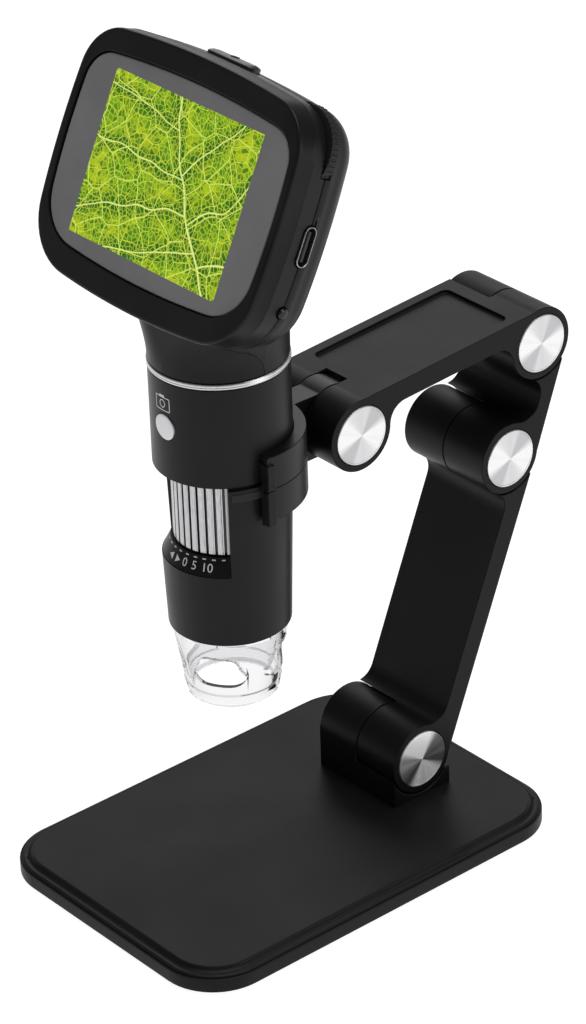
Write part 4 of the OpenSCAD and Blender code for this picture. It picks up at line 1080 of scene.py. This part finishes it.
def leaf_picture(tree, spot):
    """spot: place on the screen in millimetres. Gives the colour of the picture there."""
    flat = vector(tree, "MULTIPLY", stirred(tree, spot, spot, 0.12, 0.0, 3.0), (1, 1, 0))
    from_vein = None
    for start, end, half in MAIN_VEINS:
        a, b = Vector((*start, 0)), Vector((*end, 0))
        along = vector(tree, "SUBTRACT", flat, a)
        share = maths(tree, "MULTIPLY", vector(tree, "DOT_PRODUCT", along, b - a),
                      1 / (b - a).length_squared, clamp=True)
        foot = vector(tree, "SCALE", b - a, scale=share)
        away = maths(tree, "SUBTRACT", vector(tree, "LENGTH", vector(tree, "SUBTRACT", along, foot)), half)
        from_vein = away if from_vein is None else maths(tree, "MINIMUM", from_vein, away)

    def cells(size, wobble, feature="DISTANCE_TO_EDGE"):
        pattern = node(tree, "TexVoronoi", Vector=stirred(tree, spot, flat, 0.7 / size, 0.5, wobble),
                       Scale=1 / size, feature=feature, voronoi_dimensions="2D").outputs
        return pattern["Color"] if feature == "F1" else maths(tree, "MULTIPLY", pattern["Distance"], size)

    patch = node(tree, "TexNoise", Vector=spot, Scale=0.11, Detail=3.0).outputs["Fac"]
    tone = node(tree, "SeparateColor", cells(1.1, 0.25, "F1")).outputs["Red"]
    colour = mixed(tree, fade(tree, patch, 0.38, 0.60), (0.38, 0.50, 0.002), (0.12, 0.32, 0.003))
    for value, start, stop, at_start, at_stop, tint in (
            (tone, 0.15, 0.9, 0.0, 0.85, (0.035, 0.15, 0.002)),
            (from_vein, 0.4, 3.4, 0.95, 0.0, (0.008, 0.11, 0.005)),
            (cells(1.1, 0.25), 0.03, 0.17, 0.7, 0.0, (0.50, 0.64, 0.015)),
            (cells(3.4, 1.1), 0.03, 0.15, 0.8, 0.0, (0.62, 0.76, 0.05)),
            (cells(8.0, 3.0), 0.05, 0.19, 0.9, 0.0, (0.66, 0.80, 0.12)),
            (from_vein, -0.04, 0.14, 1.0, 0.0, (0.74, 0.84, 0.22))):
        colour = mixed(tree, fade(tree, value, start, stop, at_start, at_stop), colour, tint)
    return colour

print("leaf of", len(MAIN_VEINS), "large veins")

# %% Make the screen's finish
PICTURE = 48.96, 36.72         # the lit area

def screen_finish():
    mat, tree, shader = new_finish("screen_finish")
    spot = node(tree, "Mapping", Vector=own_place(tree), vector_type="TEXTURE", Scale=(MM, MM, MM),
                Location=HEAD_MIDDLE * MM, Rotation=HEAD.to_euler()).outputs["Vector"]
    parts = node(tree, "SeparateXYZ", spot).outputs
    wide, tall = (maths(tree, "LESS_THAN", maths(tree, "ABSOLUTE", parts[axis]), size / 2)
                  for axis, size in zip("XY", PICTURE))
    lit = maths(tree, "MULTIPLY", wide, tall)
    grey_print = two_tone(tree, cloud(tree, 14, 3), (0.150, 0.150, 0.155), (0.172, 0.172, 0.178))
    fill(shader, Base_Color=mixed(tree, lit, grey_print, (0.01, 0.012, 0.01)),
         Emission_Color=mixed(tree, lit, (0, 0, 0), leaf_picture(tree, spot)), Emission_Strength=1.0,
         Roughness=spread(tree, cloud(tree, 5, 3), 0.10, 0.16), Specular_IOR_Level=0.4)
    return mat

glass = loft("cover_glass", rings_of(glass_line, (0.05, -1.2), (0.0, -1.15), (0.0, -0.34), (0.05, -0.25),
                                     (0.26, -0.04), (0.36, 0.0)), smooth=25)
finish(place(glass, HEAD), screen_finish(), "screen_glass", slot="screen")

# %% [markdown]
# ## Controls
# The power button is a long pad with a raised power sign: a ring with a gap, and a bar through the gap.

# %% Model the power button
pad = loft("power_pad", rings_of(soft_oblong(15.4, 4.4, 2.19, 12), (0.0, 25.4), (0.0, 28.6), (0.1, 28.76),
                                 (0.3, 28.88), (0.95, 29.14), (1.15, 29.18), (1.3, 29.18)), smooth=35)
sign_ring = loft("power_ring", rings_of(
    round_line(48), (1.05, 29.0), (1.05, 29.36), (0.78, 29.37), (0.78, 29.02)), closed=True)
cut(sign_ring, loft("gap_tool", rings_of(soft_oblong(0.75, 1.0, 0.05, 2, (0, 1.0)), (0, 28.9), (0, 29.5))))
sign_bar = loft("power_bar", rings_of(soft_oblong(0.24, 1.0, 0.1, 4, (0, 0.72)), (0, 29.0), (0, 29.36)))
finish(place(join_up("power_pad", pad, sign_ring, sign_bar), POWER), pad_black, "power_button",
       body="power_button")

# %% [markdown]
# The charging socket is a thin steel shell bent to an oblong, with a flat black tongue inside it.

# %% Model the charging socket
shell = loft("socket_ring", rings_of(
    soft_oblong(8.94, 3.26, 1.62, 10, SOCKET), (0.28, 30.6), (0.28, 37.02), (0.2, 37.12), (0.1, 37.14),
    (0.0, 37.04), (0.0, 30.6)), closed=True, smooth=40)
finish(place(shell, SIDE), socket_shell, "usb_socket", slot="silver_trim")
for name, oblong, steps, material in (
        ("socket_tongue", (6.7, 0.75, 0.2, 4), ((0, 30.9), (0, 36.7), (0.15, 36.85)), foot_grey),
        ("socket_floor", (8.4, 2.7, 1.3, 10), ((0, 30.6), (0, 31.2), (0.2, 31.3)), knob_black)):
    inside = loft(name, rings_of(soft_oblong(*oblong, SOCKET), *steps))
    finish(place(inside, SIDE), material, "usb_socket")

# %% [markdown]
# The status light is a small smoky lens, set a little below the shell's side.

# %% Model the status light
smoky = moulded("smoky_lens", (0.004, 0.004, 0.005), (0.008, 0.008, 0.009), 0.1, grain=0.8, depth=0.02,
                shine=0.35)
lamp_lens = place(domed_stud("status_lens", 1.2, 34.6, 36.25, 36.7), SIDE @ moved(*LAMP))
finish(lamp_lens, smoky, "status_light", slot="lamp")

# %% [markdown]
# ## Everything else
# The pieces that hardly show still get the finish of what they are made of: steel screws, nylon washers,
# a green circuit board with its copper runs, and a foil-wrapped cell.

# %% Dress the small and inner pieces
def dress(material, *names):
    for name in names:
        cad = frame["nodes"][name]
        if not cad.material_slots:
            cad.data.materials.append(material)
        for slot in cad.material_slots:
            slot.material = material

def circuit_green():
    mat, tree, shader = new_finish("circuit_green")
    runs = node(tree, "TexBrick", Vector=own_place(tree), Scale=1 / (3.2 * MM), Mortar_Size=0.05,
                Color1=(0.010, 0.075, 0.030), Color2=(0.012, 0.095, 0.038), Mortar=(0.05, 0.22, 0.08))
    fill(shader, Base_Color=runs.outputs["Color"], Roughness=spread(tree, cloud(tree, 3), 0.3, 0.42))
    return mat

led_cream = moulded("led_cream", (0.74, 0.72, 0.60), (0.84, 0.82, 0.70), 0.2, grain=0.4, depth=0.05)
board_white = moulded("board_white", (0.70, 0.70, 0.68), (0.78, 0.78, 0.76), 0.4)
dress(knob_black, "dimmer_wheel")
dress(coated_glass, "objective_lens")
dress(stand_black, "base_cover", "lens_tube")
dress(foot_grey, "base_feet")
dress(washer_grey, "base_hinge_washer", "elbow_hinge_washer", "top_hinge_washer", "front_hinge_washers")
dress(turned_steel, "base_weight", "base_screws", "head_screws", "dimmer_spindle", "power_switch",
      "snapshot_switch", *[f"{n}_hinge_{k}" for n in AXLE for k in ("bolt", "nut")])
dress(circuit_green(), "main_board", "sensor_board")
dress(board_white, "led_board", "lcd_module")
dress(led_cream, "leds")
dress(battery_foil, "battery")
print("dressed", len(frame["nodes"]), "nodes")

# %% [markdown]
# ## Hand over
# A CAD node that a piece stands for is hidden only now, because a hidden piece can't be copied.

# %% Hide what has been replaced and finish
let_go()
for name, nodes in SHOWN.items():
    if nodes:
        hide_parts(*nodes)
